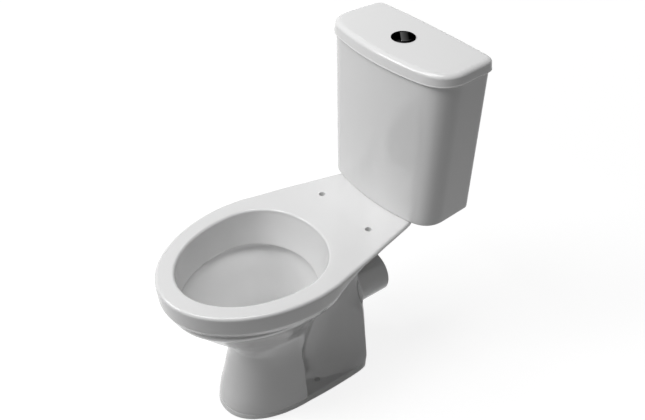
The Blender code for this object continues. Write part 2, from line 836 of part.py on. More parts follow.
def body_half(height, inset=0.0):
    """The cistern body's half outline at a height above the deck, or one that far inside it."""
    t = height / cistern_height
    foot = (cistern_foot_front, cistern_foot_bow, cistern_foot_half_width, cistern_foot_corner)
    top = (cistern_top_front, cistern_top_bow, cistern_top_half_width, cistern_top_corner)
    front, bow, half_width, corner = [a + (b - a) * t for a, b in zip(foot, top)]
    half_width -= inset
    return tank_half(front + inset, bow, cistern_back - inset, half_width,
                     half_width - cistern_back_draw, corner - inset, cistern_back_corner)


def level_ring(half, height):
    """Close a half outline and lift it to a height above the deck."""
    ring = both_sides(half + (0.0, bowl_front))
    height = np.broadcast_to(height, len(half))
    return np.column_stack((ring, np.concatenate((height, height[1:-1][::-1])) + pan_height))


def make_cistern():
    """The cistern body: a tapered china tank, open at the top."""
    rings = []
    for angle in np.linspace(0.0, math.pi / 2, 5):
        inset = cistern_bottom_radius * (1 - math.sin(angle))
        height = clearance + cistern_bottom_radius * (1 - math.cos(angle))
        rings.append(level_ring(body_half(height, inset), height))
    for share in (0.35, 0.65, 1.0):
        height = share * cistern_height
        rings.append(level_ring(body_half(height), height))
    body = loft("cistern_body", rings, china("cistern_china"))
    inner = []
    for height in (cistern_floor, cistern_height / 2, cistern_height + cut_overrun):
        inner.append(level_ring(body_half(height, cistern_wall), height))
    cut(body, loft("tank_cutter", inner))
    valve = Matrix.Translation((0.0, valve_y, pan_height))
    cut(body, cylinder("pocket_cutter", pocket_radius, -cut_overrun, pocket_depth, place=valve))
    through = cistern_floor + cut_overrun
    for name, radius, x, segments in (
            ("tail_hole", valve_tail_radius + 2 * clearance, 0.0, round_segments),
            ("shank_hole", shank_radius + 2 * clearance, fill_side, round_segments),
            ("left_bolt_hole", bolt_hole_radius, -bolt_place, bolt_segments),
            ("right_bolt_hole", bolt_hole_radius, bolt_place, bolt_segments)):
        cut(body, cylinder(name, radius, -cut_overrun, through, place=spot(valve, x, 0.0),
                           segments=segments))
    return body


def lid_half(grow=0.0):
    half = tank_half(lid_front, lid_bow, lid_back, lid_half_width_front, lid_half_width_back,
                     lid_corner, lid_back_corner)
    return offset_half(half, -grow)


def crown_at(half):
    """How far the lid's top lies below its middle, which rises in a low crown."""
    return lid_crown * (half[:, 0] / lid_half_width_back) ** 2


def lid_top_rings():
    """Rings of the lid's rounded top edge and crowned top, from the edge to the middle."""
    half = lid_half()
    drop = crown_at(half)
    rings = []
    for angle in np.linspace(math.pi / 2, 0.0, 5):
        inset = lid_edge_width * (1 - math.sin(angle))
        height = lid_top - lid_edge_depth * (1 - math.cos(angle))
        rings.append(level_ring(offset_half(half, inset), height - drop))
    flat = offset_half(half, lid_edge_width)
    middle = (flat[0, 1] + flat[-1, 1]) / 2
    for share in (0.75, 0.5, 0.25, 0.06):
        small = (flat - (0.0, middle)) * share + (0.0, middle)
        rings.append(level_ring(small, lid_top - crown_at(small)))
    return rings


def make_lid():
    """The lift-off lid: a crowned D-shaped shell with a skirt around the body's top."""
    skirt_low = lid_top - lid_crown / 2 - lid_skirt_height
    rings = [
        level_ring(lid_half(lid_skirt_flare), skirt_low),
        level_ring(lid_half(lid_skirt_flare + lid_bead), skirt_low + lid_bead),
        level_ring(lid_half(lid_skirt_flare + lid_bead), skirt_low + lid_bead_height),
        level_ring(lid_half(lid_skirt_flare), skirt_low + lid_bead_height + lid_bead),
    ]
    lid = loft("cistern_lid", rings + lid_top_rings(), china("lid_china"))
    inside = lid_half(lid_skirt_flare - lid_skirt_wall)
    cut(lid, loft("lid_cutter", [level_ring(inside, skirt_low - cut_overrun),
                                 level_ring(inside, cistern_height + clearance)]))
    cut(lid, cylinder("button_hole", cup_radius + clearance, cistern_height - cut_overrun,
                      lid_top + cut_overrun, place=valve_frame()))
    return lid


def valve_frame(height=0.0):
    """The turned frame of the flush valve and button, at a height above the deck."""
    place = Matrix.Translation((0.0, valve_y, pan_height + height))
    return place @ Matrix.Rotation(button_turn, 4, "Z")


def make_valve_base():
    """The flush valve's base with its washer and back nut, and the soft coupling washer."""
    frame = valve_frame()
    turned("flush_valve_base", (
        (valve_seat_radius, valve_seat_height), (valve_seat_radius, flange_top),
        (valve_flange_radius, flange_top), (valve_flange_radius, flange_low),
        (valve_tail_radius, flange_low), (valve_tail_radius, -valve_tail_below),
        (valve_bore_radius, -valve_tail_below), (valve_bore_radius, valve_seat_height)),
        plastic("valve_base_plastic"), frame)
    washer("flush_valve_washer", valve_tail_radius + clearance, valve_flange_radius,
           cistern_floor + clearance, flange_low - clearance, rubber("valve_washer_rubber"), frame)
    nut_top = pocket_depth - clearance
    nut_low = nut_top - back_nut_height
    nut = cylinder("flush_valve_back_nut", back_nut_radius, nut_low, nut_top,
                   plastic("back_nut_plastic", GREY), frame, 8)
    cut(nut, cylinder("back_nut_bore", valve_tail_radius + clearance, nut_low - cut_overrun,
                      nut_top + cut_overrun, place=frame))
    washer("coupling_washer", doughnut_inner, doughnut_outer, clearance, nut_top,
           rubber("coupling_washer_rubber"), frame)


def add_block(item, name, low, high, frame):
    """Join a box to a part."""
    return cut(item, block(name, low, high, place=frame), "UNION")


def make_cage():
    """The valve's cage: two posts, a guide for the tube, and a bridge with the levers' ear."""
    frame = valve_frame()
    reach = cage_post_place + cage_post_radius
    bridge_top = cage_bridge_height + cage_bridge_thickness
    cage = block("flush_valve_cage", (-cage_bridge_width / 2, -reach, cage_bridge_height),
                 (cage_bridge_width / 2, reach, bridge_top), plastic("cage_plastic"), frame)
    overlap = cage_bridge_thickness / 2
    guide_outer = tube_radius + cage_guide_ring
    guide_top = cage_guide_height + cage_guide_thickness
    for side in (-1, 1):
        cut(cage, cylinder("cage_post", cage_post_radius, flange_top + clearance,
                           cage_bridge_height + overlap,
                           place=spot(frame, 0.0, side * cage_post_place), segments=12), "UNION")
        ends = sorted((side * (guide_outer - cage_guide_ring / 2), side * cage_post_place))
        add_block(cage, "cage_arm", (-cage_post_radius / 2, ends[0], cage_guide_height),
                  (cage_post_radius / 2, ends[1], guide_top), frame)
    cut(cage, washer("cage_guide", tube_radius + 2 * clearance, guide_outer,
                     cage_guide_height, guide_top, place=frame), "UNION")
    rod_side = yoke_reach + yoke_post
    add_block(cage, "vent_guide",
              (guide_outer - cage_guide_ring / 2, -yoke_width / 2 - vent_guide_margin,
               cage_guide_height), (rod_side + vent_guide_margin, vent_guide_margin, guide_top),
              frame)
    cut(cage, block("vent_guide_hole", (yoke_reach - clearance, -yoke_width / 2 - clearance,
                                        cage_guide_height - cut_overrun),
                    (rod_side + clearance, clearance, guide_top + cut_overrun), place=frame))
    add_block(cage, "cage_ear", (-cage_ear_length / 2, -cage_ear_width / 2,
                                 cage_bridge_height + overlap),
              (cage_ear_length / 2, cage_ear_width / 2, bridge_top + cage_ear_height), frame)
    cut(cage, pin_form("ear_bore", pin_radius + pin_play, cage_ear_width + 2 * cut_overrun,
                       valve_frame(lever_pin_height)))


def pin_form(name, radius, length, frame, material=None):
    """A round pin lying along the frame's y axis, centred on its origin."""
    lying = frame @ Matrix.Rotation(math.pi / 2, 4, "X")
    return cylinder(name, radius, -length / 2, length / 2, material, lying, 12)


def make_lifting_parts():
    """The overflow tube that lifts, its seal, float and yoke, and the half-flush vent rod."""
    frame = valve_frame()
    seal_low = valve_seat_height + clearance
    plate_low = seal_low + seal_thickness + clearance
    plate_top = plate_low + seal_plate_thickness
    bore = tube_radius - tube_wall
    turned("lift_tube", (
        (tube_radius, tube_top), (tube_radius, plate_top), (seal_plate_radius, plate_top),
        (seal_plate_radius, plate_low), (tube_radius, plate_low), (tube_radius, seal_low),
        (bore, seal_low), (bore, tube_top)), plastic("tube_plastic"), frame)
    washer("lift_seal", tube_radius + clearance, seal_radius, seal_low, plate_low - clearance,
           rubber("seal_rubber"), frame)
    washer("lift_float", tube_radius + clearance, float_radius, float_low,
           float_low + float_height, plastic("float_plastic", BLUE), frame)
    yoke_top = yoke_low + yoke_height
    yoke = washer("lift_yoke", tube_radius + clearance, tube_radius + yoke_ring, yoke_low,
                  yoke_top, plastic("yoke_plastic", RED), frame)
    hook_low = lever_height + lever_thickness + clearance
    hook_top = hook_low + hook_thickness
    outer = yoke_reach + yoke_post
    hook_end = yoke_reach - hook_reach
    edge = yoke_width / 2
    inside = yoke_reach + yoke_post / 2
    add_block(yoke, "yoke_arm", (-inside, yoke_step - lever_side / 2, yoke_low + yoke_step),
              (-tube_radius - yoke_ring / 2, lever_side / 2, yoke_top - yoke_step), frame)
    add_block(yoke, "yoke_post", (-outer, -lever_side / 2, yoke_low),
              (-yoke_reach, edge, hook_top), frame)
    add_block(yoke, "yoke_hook", (-inside, yoke_step - lever_side / 2, hook_low),
              (-hook_end, edge - yoke_step, hook_top - yoke_step), frame)
    rod = block("half_vent_rod", (yoke_reach, -edge, vent_rod_low), (outer, 0.0, hook_top),
                plastic("vent_rod_plastic", GREY), frame)
    add_block(rod, "vent_hook", (hook_end, -edge, hook_low), (outer, 0.0, hook_top), frame)


def make_levers():
    """The two flush levers and the pin that both turn on."""
    frame = valve_frame(lever_pin_height)
    half = lever_thickness / 2
    inner = lever_side - lever_width / 2
    outer = lever_side + lever_width / 2
    for name, way in (("full_flush_lever", 1), ("half_flush_lever", -1)):
        ends = sorted((-way * (lever_arm + lever_tip), way * (rod_arm + lever_heel)))
        sides = sorted((way * inner, way * outer))
        lever = block(name, (ends[0], sides[0], -half), (ends[1], sides[1], half),
                      plastic(name + "_plastic", GREY), frame)
        cut(lever, pin_form(name + "_bore", pin_radius + pin_play, 2 * outer + cut_overrun, frame))
    pin_form("lever_pin", pin_radius, 2 * (outer + pin_radius), frame, steel("lever_pin_steel"))


def make_bezel():
    """The chrome ring in the lid with its cup, and the nut that holds it."""
    frame = valve_frame()
    low = lid_top - cup_depth
    inner = cup_radius - cup_wall
    seat = lid_top + clearance
    top = seat + bezel_height
    bezel = turned("button_bezel", (
        (bezel_radius - bezel_edge, top), (bezel_radius, top - bezel_edge),
        (bezel_radius, seat), (cup_radius, seat), (cup_radius, low), (inner, low),
        (inner, top - bezel_edge), (inner + bezel_edge, top)),
        chrome("bezel_chrome"), frame, fine_segments)
    cut(bezel, cylinder("cup_floor", cup_radius - cup_wall / 2, low, cup_floor_top, place=frame,
                        segments=fine_segments), "UNION")
    for way in (1, -1):
        cut(bezel, cylinder("rod_guide", rod_radius + 2 * clearance, low - cut_overrun,
                            cup_floor_top + cut_overrun,
                            place=spot(frame, way * rod_arm, way * lever_side), segments=16))
    washer("bezel_nut", cup_radius + clearance, bezel_nut_radius,
           cistern_height - bezel_nut_height, cistern_height, plastic("bezel_nut_plastic"), frame)


def spring_mesh(name, low, high):
    """A coil spring between two heights, as one unbroken tube."""
    count = spring_turns * spring_points
    climb = high - low - 2 * spring_wire
    run = []
    for step in range(count + 1):
        angle = 2 * math.pi * step / spring_points
        run.append((spring_radius * math.cos(angle), spring_radius * math.sin(angle),
                    low + spring_wire + climb * step / count))
    return tube_along(name, run, spring_wire, 1)


def make_buttons():
    """The two halves of the push button, each with its push rod and return spring."""
    radius = cup_radius - cup_wall - button_gap
    rod_low = lever_height + lever_thickness + clearance
    beyond = radius + cut_overrun
    for name, way in (("full", 1), ("half", -1)):
        frame = valve_frame()
        button = cylinder(f"{name}_flush_button", radius, button_low, button_top,
                          chrome(f"{name}_button_chrome"), frame, fine_segments)
        split = sorted((-way * beyond, button_split + way * button_gap / 2))
        cut(button, block(f"{name}_split", (split[0], -beyond, button_low - cut_overrun),
                          (split[1], beyond, button_top + cut_overrun), place=frame))
        edge = button.modifiers.new("rounded_edge", "BEVEL")
        edge.width = button_edge
        edge.segments = 1
        at = spot(frame, way * rod_arm, way * lever_side)
        cylinder(f"{name}_flush_rod", rod_radius, rod_low, button_low - clearance,
                 plastic(f"{name}_rod_plastic"), at, 16)
        coil = spring_mesh(f"{name}_button_spring", cup_floor_top + clearance,
                           button_low - clearance)
        add_object(f"{name}_button_spring", coil, steel(f"{name}_spring_steel"), at)


def fill_frame(height=0.0):
    """The fill valve's frame, with its x axis towards the back."""
    place = Matrix.Translation((fill_side, valve_y, pan_height + height))
    return place @ Matrix.Rotation(math.pi / 2, 4, "Z")


def make_fill_valve():
    """The bottom-entry fill valve: body, washer, nut, cap, discharge tube and float."""
    frame = fill_frame()
    low = cistern_floor + fill_washer_height + 2 * clearance
    top = low + fill_flange_height
    head_top = head_low + head_height
    body = turned("fill_valve_body", (
        (head_radius, head_top), (head_radius, head_low), (column_radius, head_low),
        (column_radius, top), (fill_flange_radius, top), (fill_flange_radius, low),
        (shank_radius, low), (shank_radius, -shank_below), (shank_bore, -shank_below),
        (shank_bore, head_top)), plastic("fill_body_plastic"), frame)
    spout_end = drop_tube_place + drop_tube_radius
    add_block(body, "spout", (-spout_half_width, -spout_end, spout_low),
              (spout_half_width, -(shank_bore + column_radius) / 2, spout_low + spout_height),
              frame)
    stud_outer = arm_side + arm_width / 2
    ear_outer = arm_side - arm_width / 2 - clearance
    add_block(body, "arm_ear",
              (-arm_pivot_back - arm_end, -ear_outer, arm_pin_height - arm_ear_height / 2),
              (-shank_bore - column_radius / 2, arm_ear_width - ear_outer,
               arm_pin_height + arm_ear_height / 2), frame)
    stud_length = stud_outer - ear_outer + arm_ear_width / 2
    stud = spot(fill_frame(arm_pin_height), -arm_pivot_back, -stud_outer + stud_length / 2)
    cut(body, pin_form("arm_stud", pin_radius, stud_length, stud), "UNION")
    washer("fill_valve_washer", shank_radius + clearance, fill_flange_radius,
           cistern_floor + clearance, low - clearance, rubber("fill_washer_rubber"), frame)
    nut = cylinder("fill_valve_back_nut", fill_nut_radius, -fill_nut_height, 0.0,
                   plastic("fill_nut_plastic"), frame, 6)
    cut(nut, cylinder("fill_nut_bore", shank_radius + clearance, -fill_nut_height - cut_overrun,
                      cut_overrun, place=frame))
    cylinder("fill_valve_cap", cap_radius, head_top + clearance, head_top + cap_height,
             plastic("fill_cap_plastic", RED), frame)
    washer("fill_drop_tube", drop_tube_radius - drop_tube_wall, drop_tube_radius, drop_tube_low,
           spout_low - clearance, plastic("drop_tube_plastic"),
           spot(frame, 0.0, -drop_tube_place), 16)


def make_fill_float():
    """The fill valve's float, its upright rod and the arm that the rod lifts."""
    frame = fill_frame()
    float_top = fill_float_low + fill_float_height
    fill_float = washer("fill_float", column_radius + fill_float_play, fill_float_radius,
                        fill_float_low, float_top, plastic("fill_float_plastic", BLUE), frame)
    socket = spot(frame, float_rod_ahead, -arm_side)
    rod_low = float_top - float_rod_depth
    cut(fill_float, cylinder("rod_socket", float_rod_radius + clearance, rod_low - clearance,
                             float_top + cut_overrun, place=socket, segments=12))
    rod_top = arm_pin_height - arm_thickness / 2 - clearance
    cylinder("fill_float_rod", float_rod_radius, rod_low, rod_top, steel("float_rod_steel"),
             socket, 12)
    pivot = spot(fill_frame(arm_pin_height), -arm_pivot_back, -arm_side)
    reach = arm_pivot_back + float_rod_ahead + arm_end
    arm = block("fill_float_arm", (-arm_end, -arm_width / 2, -arm_thickness / 2),
                (reach, arm_width / 2, arm_thickness / 2), plastic("float_arm_plastic"), pivot)
    cut(arm, pin_form("arm_bore", pin_radius + pin_play, arm_width + 2 * cut_overrun, pivot))


def make_bolts():
    """The coupling bolts that hold the cistern to the deck, with their washers and wing nuts."""
    rubber_low = cistern_floor + clearance
    rubber_top = rubber_low + rubber_washer_height
    steel_low = rubber_top + clearance
    steel_top = steel_low + steel_washer_height
    head_low_place = steel_top + clearance
    head_top_place = head_low_place + bolt_head_height
    under_top = -deck_depth - clearance
    under_low = under_top - rubber_washer_height
    wing_top = under_low - clearance
    wing_low = wing_top - wing_body_height
    for word, side in (("left", -1), ("right", 1)):
        place = Matrix.Translation((side * bolt_place, valve_y, pan_height))
        bolt = cylinder(f"coupling_bolt_{word}", bolt_head_radius, head_low_place, head_top_place,
                        steel(f"bolt_steel_{word}"), place, 6)
        cut(bolt, cylinder("bolt_shank", bolt_radius, -bolt_below,
                           head_low_place + bolt_head_height / 2, place=place,
                           segments=bolt_segments), "UNION")
        washer(f"bolt_rubber_washer_{word}", bolt_washer_inner, rubber_washer_radius, rubber_low,
               rubber_top, rubber(f"bolt_washer_rubber_{word}"), place, 24)
        washer(f"bolt_plate_washer_{word}", bolt_washer_inner, steel_washer_radius, steel_low,
               steel_top, steel(f"plate_washer_steel_{word}"), place, 24)
        washer(f"deck_rubber_washer_{word}", bolt_washer_inner, rubber_washer_radius, under_low,
               under_top, rubber(f"deck_washer_rubber_{word}"), place, 24)
        wing = cylinder(f"wing_nut_{word}", wing_body_radius, wing_low, wing_top,
                        brass(f"wing_nut_brass_{word}"), place, bolt_segments)
        add_block(wing, "blades", (-wing_reach, -wing_thickness / 2, wing_top - wing_height),
                  (wing_reach, wing_thickness / 2, wing_top - wing_height / 3), place)
        cut(wing, cylinder("wing_bore", bolt_radius + clearance, wing_top - wing_height - cut_overrun,
                           wing_top + cut_overrun, place=place, segments=bolt_segments))


def main():
    make_pan()
    make_cistern()
    make_lid()
    make_valve_base()
    make_cage()
    make_lifting_parts()
    make_levers()
    make_bezel()
    make_buttons()
    make_fill_valve()
    make_fill_float()
    make_bolts()


main()
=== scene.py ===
"""The looks of the close-coupled toilet: glazed china, push button, fittings, light and camera."""

import json
import math

import bmesh
import bpy
import numpy as np
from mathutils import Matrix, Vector


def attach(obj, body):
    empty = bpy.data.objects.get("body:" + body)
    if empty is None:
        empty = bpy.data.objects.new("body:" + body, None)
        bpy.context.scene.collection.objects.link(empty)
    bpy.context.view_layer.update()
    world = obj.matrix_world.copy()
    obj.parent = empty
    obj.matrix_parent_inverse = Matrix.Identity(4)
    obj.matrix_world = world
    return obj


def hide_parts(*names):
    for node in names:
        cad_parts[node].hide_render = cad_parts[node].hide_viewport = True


bl_info = {
    "name": "Close-coupled toilet",
    "version": (1, 0, 0),
    "blender": (4, 5, 0),
    "location": "3D View > Sidebar > Toilet",
    "description": "Builds the toilet's china, push button, finishes and stage",
    "category": "Object",
}

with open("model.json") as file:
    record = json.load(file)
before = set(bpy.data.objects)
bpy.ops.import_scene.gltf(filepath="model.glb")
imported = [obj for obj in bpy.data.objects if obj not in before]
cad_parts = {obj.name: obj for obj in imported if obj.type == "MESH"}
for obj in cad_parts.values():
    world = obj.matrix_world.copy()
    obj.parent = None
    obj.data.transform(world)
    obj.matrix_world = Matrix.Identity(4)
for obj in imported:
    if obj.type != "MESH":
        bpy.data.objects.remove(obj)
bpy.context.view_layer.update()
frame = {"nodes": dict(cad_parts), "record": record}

# The frame: floor at zero, the bowl towards -Y
bowl_front = -0.335
pan_height = 0.400
deck_length = 0.640
pan_half_width = 0.1765
valve_y = 0.246

# Outline of the rim and deck
rim_widest = 0.2458
rim_side_shares = (
    (0.445, 0.956), (0.500, 0.856), (0.565, 0.742), (0.625, 0.632), (0.690, 0.496),
    (0.757, 0.366), (0.820, 0.228), (0.845, 0.115), (0.870, 0.022), (0.900, 0.0),
)
deck_end_half_width = 0.097
deck_end_corner = 0.014
rim_depth = 0.057
deck_depth = 0.020
deck_thins_from = 0.37
deck_thins_to = 0.60
deck_end_from = 0.83
rim_crease_inset = 0.009
deck_under_inset = 0.024
deck_end_under_inset = 0.006

# The edge band of the rim, each size at the rim and at the deck: how deep its foot's roll and
# its side end, and how far inside the outline they lie there
roll_depth = (0.050, 0.010)
side_depth = (0.040, 0.0065)
roll_inset = (0.006, 0.007)
side_inset = (0.002, 0.0008)
crease_fillet = 0.010
crease_rings = 5
band_rings = 25
crease_soft_rings = (3, 12)
crease_soft_times = 8

# Mouth and bowl, counted from the bowl's front: front, widest place, rear and half width, which
# for the bowl's levels are shares, after the height's
mouth = (0.040, 0.2275, 0.3545, 0.136)
lip = (0.0435, 0.2155, 0.3325, 0.1275)
mouth_power = 2.15
lip_power = 2.0
wall_depth = 0.082
lip_radius = 0.004
lip_turn = math.radians(100)
bowl_level_shares = (
    (0.7900, 0.0650, 0.352, 0.529, 0.748),
    (0.7650, 0.0760, 0.358, 0.529, 0.735),
    (0.7250, 0.0950, 0.362, 0.526, 0.655),
    (0.6750, 0.1200, 0.363, 0.520, 0.570),
    (0.5870, 0.1680, 0.370, 0.510, 0.470),
    (0.5000, 0.2170, 0.376, 0.497, 0.388),
    (0.4125, 0.2590, 0.382, 0.491, 0.328),
    (0.3250, 0.3010, 0.391, 0.485, 0.272),
    (0.2500, 0.3410, 0.404, 0.482, 0.235),
    (0.1875, 0.3760, 0.419, 0.479, 0.190),
    (0.1500, 0.4000, 0.432, 0.473, 0.120),
)

# The outside below the rim: height, nose front, widest place, half width there, then the half
# width at each station along the leg, all as shares
leg_station_shares = (0.425, 0.460, 0.500, 0.550, 0.595, 0.640, 0.676, 0.692)
leg_end_share = 0.698
leg_corner_share = 0.985
leg_back_share = 0.90
nose_power = 2.15
foot_level_shares = (
    (0.0000, 0.172, 0.42, 0.540, (0.540, 0.545, 0.550, 0.553, 0.553, 0.545, 0.517, 0.416)),
    (0.0125, 0.165, 0.42, 0.560, (0.562, 0.568, 0.574, 0.576, 0.574, 0.568, 0.542, 0.442)),
    (0.0480, 0.170, 0.41, 0.548, (0.550, 0.556, 0.560, 0.562, 0.560, 0.556, 0.545, 0.445)),
)
leg_level_shares = (
    (0.0520, 0.169, 0.41, 0.549, (0.343, 0.309, 0.394, 0.455, 0.512, 0.550, 0.548, 0.448)),
    (0.1000, 0.175, 0.41, 0.550, (0.326, 0.280, 0.326, 0.395, 0.478, 0.541, 0.554, 0.456)),
    (0.1750, 0.191, 0.407, 0.536, (0.314, 0.269, 0.280, 0.325, 0.410, 0.491, 0.534, 0.448)),
    (0.2650, 0.207, 0.407, 0.518, (0.345, 0.268, 0.266, 0.290, 0.355, 0.446, 0.505, 0.432)),
    (0.3500, 0.219, 0.404, 0.490, (0.400, 0.278, 0.266, 0.277, 0.325, 0.408, 0.476, 0.413)),
    (0.4250, 0.221, 0.397, 0.479, (0.440, 0.310, 0.270, 0.272, 0.303, 0.378, 0.438, 0.382)),
    (0.5000, 0.198, 0.388, 0.491, (0.465, 0.365, 0.292, 0.274, 0.292, 0.342, 0.350, 0.305)),
    (0.5870, 0.149, 0.376, 0.549, (0.515, 0.445, 0.345, 0.291, 0.286, 0.302, 0.295, 0.262)),
    (0.6750, 0.101, 0.370, 0.651, (0.606, 0.537, 0.440, 0.349, 0.295, 0.288, 0.276, 0.248)),
    (0.7750, 0.052, 0.370, 0.800, (0.766, 0.709, 0.617, 0.469, 0.345, 0.300, 0.278, 0.250)),
    (0.8575, 0.016, 0.376, 0.940, (0.915, 0.880, 0.806, 0.634, 0.463, 0.338, 0.308, 0.270)),
    (0.9650, 0.033, 0.376, 0.886, (0.857, 0.823, 0.749, 0.577, 0.411, 0.300, 0.265, 0.200)),
)

# The land round the leg: how much of its width is crossed, and how far above the foot's top
land_profile = (
    (0.0, -0.0036), (0.02, -0.0016), (0.07, -0.0004), (0.16, 0.0), (0.80, 0.0006), (0.92, 0.0016),
    (0.98, 0.0034), (1.0, 0.0056),
)

# Waterways and holes
trap_radius = 0.036
trap_route_shares = (
    (0.441, 0.2250), (0.468, 0.1450), (0.512, 0.1300), (0.556, 0.2000),
    (0.591, 0.3150), (0.627, 0.4150), (0.680, 0.4625),
)
outlet_height = 0.185
outlet_end = 0.5355
outlet_root = 0.4432
outlet_fillet = 0.016
outlet_edge = 0.003
outlet_radius = 0.051
outlet_wall = 0.0075
outlet_bore_front = 0.460
duct_half_width = 0.046
duct_top = 0.014
duct_depth = 0.075
duct_front = 0.430
duct_back = 0.629
duct_power = 0.35
duct_end_profile = (
    (0.010, 0.0), (0.006, 0.0015), (0.003, 0.004), (0.001, 0.007), (0.0, 0.011),
)
hinge_place = 0.0775
hinge_from_front = 0.4405
hinge_hole_radius = 0.0068
fixing_place = 0.070
fixing_from_front = 0.3105
fixing_hole_radius = 0.006
fixing_hole_top = 0.0205
hole_flare = 0.0012
cut_overrun = 0.010

# Cistern body: front, bow, half width and front corner at its foot and at its top
cistern_height = 0.350
cistern_wall = 0.009
cistern_floor = 0.028
cistern_foot = (0.5093, 0.0246, 0.1585, 0.0454)
cistern_top = (0.5055, 0.0276, 0.1709, 0.0514)
cistern_back = 0.6610
cistern_back_draw = 0.0082
cistern_back_corner = 0.013
cistern_foot_radius = 0.0025
cistern_edge_radius = 0.0025
cistern_floor_radius = 0.010
body_gap = 0.0003

# Holes in the cistern's floor
nut_pocket_radius = 0.056
nut_pocket_depth = 0.0168
valve_hole_radius = 0.0296
supply_place = -0.118
supply_hole_radius = 0.01105
bolt_place = 0.068
bolt_hole_radius = 0.0050

# Lid, and the profile of its skirt's foot: how far out of the lid's outline and how high
lid_front = 0.5029
lid_bow = 0.0282
lid_back = 0.6678
lid_half_width_front = 0.1737
lid_half_width_back = 0.1655
lid_corner = 0.054
lid_back_corner = 0.022
lid_top = 0.3626
lid_skirt_inset = 0.0018
lid_skirt_height = 0.0265
lid_edge_width = 0.013
skirt_foot = (
    (-0.0018, 0.0010), (-0.0012, 0.0002), (0.0002, 0.0000), (0.0012, 0.0003), (0.0018, 0.0009),
    (0.0021, 0.0016), (0.0021, 0.0023), (0.0018, 0.0030), (0.0015, 0.0036), (0.0014, 0.0044),
)

# Push button, and the painted reflection across its top, a light band beside the split that fades
# away from it, each shade with its place as a share
button_turn = math.radians(52)
button_hole_radius = 0.0215
button_radius = 0.0193
# Painted shade: a dark specular tint dims the chrome's grazing reflection
chrome_dimming_tint = 0.2
# Painted shade: the darkest level of the button's painted reflection, at both ends of its ramp
button_painted_dark = 0.003
button_painted_reflection = ((0.335, 0.003), (0.345, 0.17), (0.50, 0.115), (0.70, 0.065), (0.86, 0.012))

# Stage: the floor's shades for thrown light and for the camera, its glow near the object and
# where the glow reaches one, the lamps and the camera
floor_bounce = 0.42
floor_roughness = 0.9
floor_shade = 0.28
floor_glow = 0.86
floor_glow_near = 1.2
floor_glow_far = 4.0
floor_reach = 6.0
floor_drop = 0.0005
key_place = (-1.45, -2.12, 2.52)
front_place = (-0.24, -1.42, 3.39)
top_place = (0.0, -0.05, 3.70)
lamp_target = (0.0, -0.05, 0.4)
lamp_width = 1.4
lamp_height = 1.2
camera_place = (1.11696, -0.82917, 1.53138)
camera_turn = (math.radians(52.21), 0.0, math.radians(52.006))
camera_lens = 48.29
camera_sensor = 36.0
camera_shift = 0.0014

# How finely the china is drawn
nose_points = 64
side_points = 84
rear_points = 40
quarter_points = 160
egg_split = 0.72
edge_steps = 9
leg_levels_read = 260
leg_ring_count = 70
bowl_ring_count = 70
wall_ring_count = 18
trap_sides = 48
spigot_sides = 96
duct_sides = 72
sharp_angle = math.radians(40)


class ChinaSettings(bpy.types.PropertyGroup):
    """Sizes and colour of the china that a user may change."""

    glaze_color: bpy.props.FloatVectorProperty(
        name="Glaze colour", description="Colour of the white glaze", subtype="COLOR",
        size=3, min=0.0, max=1.0, default=(0.80, 0.80, 0.80))
    glaze_roughness: bpy.props.FloatProperty(
        name="Glaze roughness", description="How dull the glaze is", subtype="FACTOR",
        min=0.0, max=1.0, default=0.14)
    rim_radius: bpy.props.FloatProperty(
        name="Rim edge radius", description="Radius of the rim's outer edge", unit="LENGTH",
        min=0.001, max=0.010, default=0.0065)
    mouth_radius: bpy.props.FloatProperty(
        name="Mouth edge radius", description="Radius of the edge round the bowl's mouth",
        unit="LENGTH", min=0.001, max=0.010, default=0.0055)
    lid_edge_depth: bpy.props.FloatProperty(
        name="Lid edge depth", description="How far the lid's rounded top edge reaches down",
        unit="LENGTH", min=0.002, max=0.010, default=0.0090)
    lid_crown: bpy.props.FloatProperty(
        name="Lid crown", description="How far the lid's middle rises above its ends",
        unit="LENGTH", min=0.0, max=0.006, default=0.0035)


class FittingSettings(bpy.types.PropertyGroup):
    """Colours of the button and the fittings."""

    # Painted shade: the chrome's near-black colour paints the dark reflection of a dim room
    chrome_painted_dark_color: bpy.props.FloatVectorProperty(
        name="Chrome colour", description="Colour of the polished button", subtype="COLOR",
        size=3, min=0.0, max=1.0, default=(0.006, 0.006, 0.006))
    plastic_color: bpy.props.FloatVectorProperty(
        name="Plastic colour", description="Colour of the plain moulded parts", subtype="COLOR",
        size=3, min=0.0, max=1.0, default=(0.72, 0.73, 0.72))
    grey_color: bpy.props.FloatVectorProperty(
        name="Grey plastic colour", description="Colour of the levers and the back nut",
        subtype="COLOR", size=3, min=0.0, max=1.0, default=(0.30, 0.31, 0.32))
    blue_color: bpy.props.FloatVectorProperty(
        name="Float colour", description="Colour of both floats", subtype="COLOR",
        size=3, min=0.0, max=1.0, default=(0.05, 0.20, 0.48))
    red_color: bpy.props.FloatVectorProperty(
        name="Yoke colour", description="Colour of the yoke and the fill valve's cap",
        subtype="COLOR", size=3, min=0.0, max=1.0, default=(0.55, 0.08, 0.06))


class StageSettings(bpy.types.PropertyGroup):
    """The stage's light."""

    key_power: bpy.props.FloatProperty(
        name="Key light", description="Power of the large light at the left", unit="POWER",
        min=0.0, default=42.0)
    front_power: bpy.props.FloatProperty(
        name="Front light", description="Power of the high light in front", unit="POWER",
        min=0.0, default=39.0)
    top_power: bpy.props.FloatProperty(
        name="Top light", description="Power of the light overhead", unit="POWER",
        min=0.0, default=30.0)
    fill_strength: bpy.props.FloatProperty(
        name="Surround", description="Strength of the even light all round", min=0.0, default=0.04)


def smoothstep(value, low, high):
    """3t^2 - 2t^3 between two limits, flat outside them."""
    t = np.clip((value - low) / (high - low), 0.0, 1.0)
    return t * t * (3 - 2 * t)


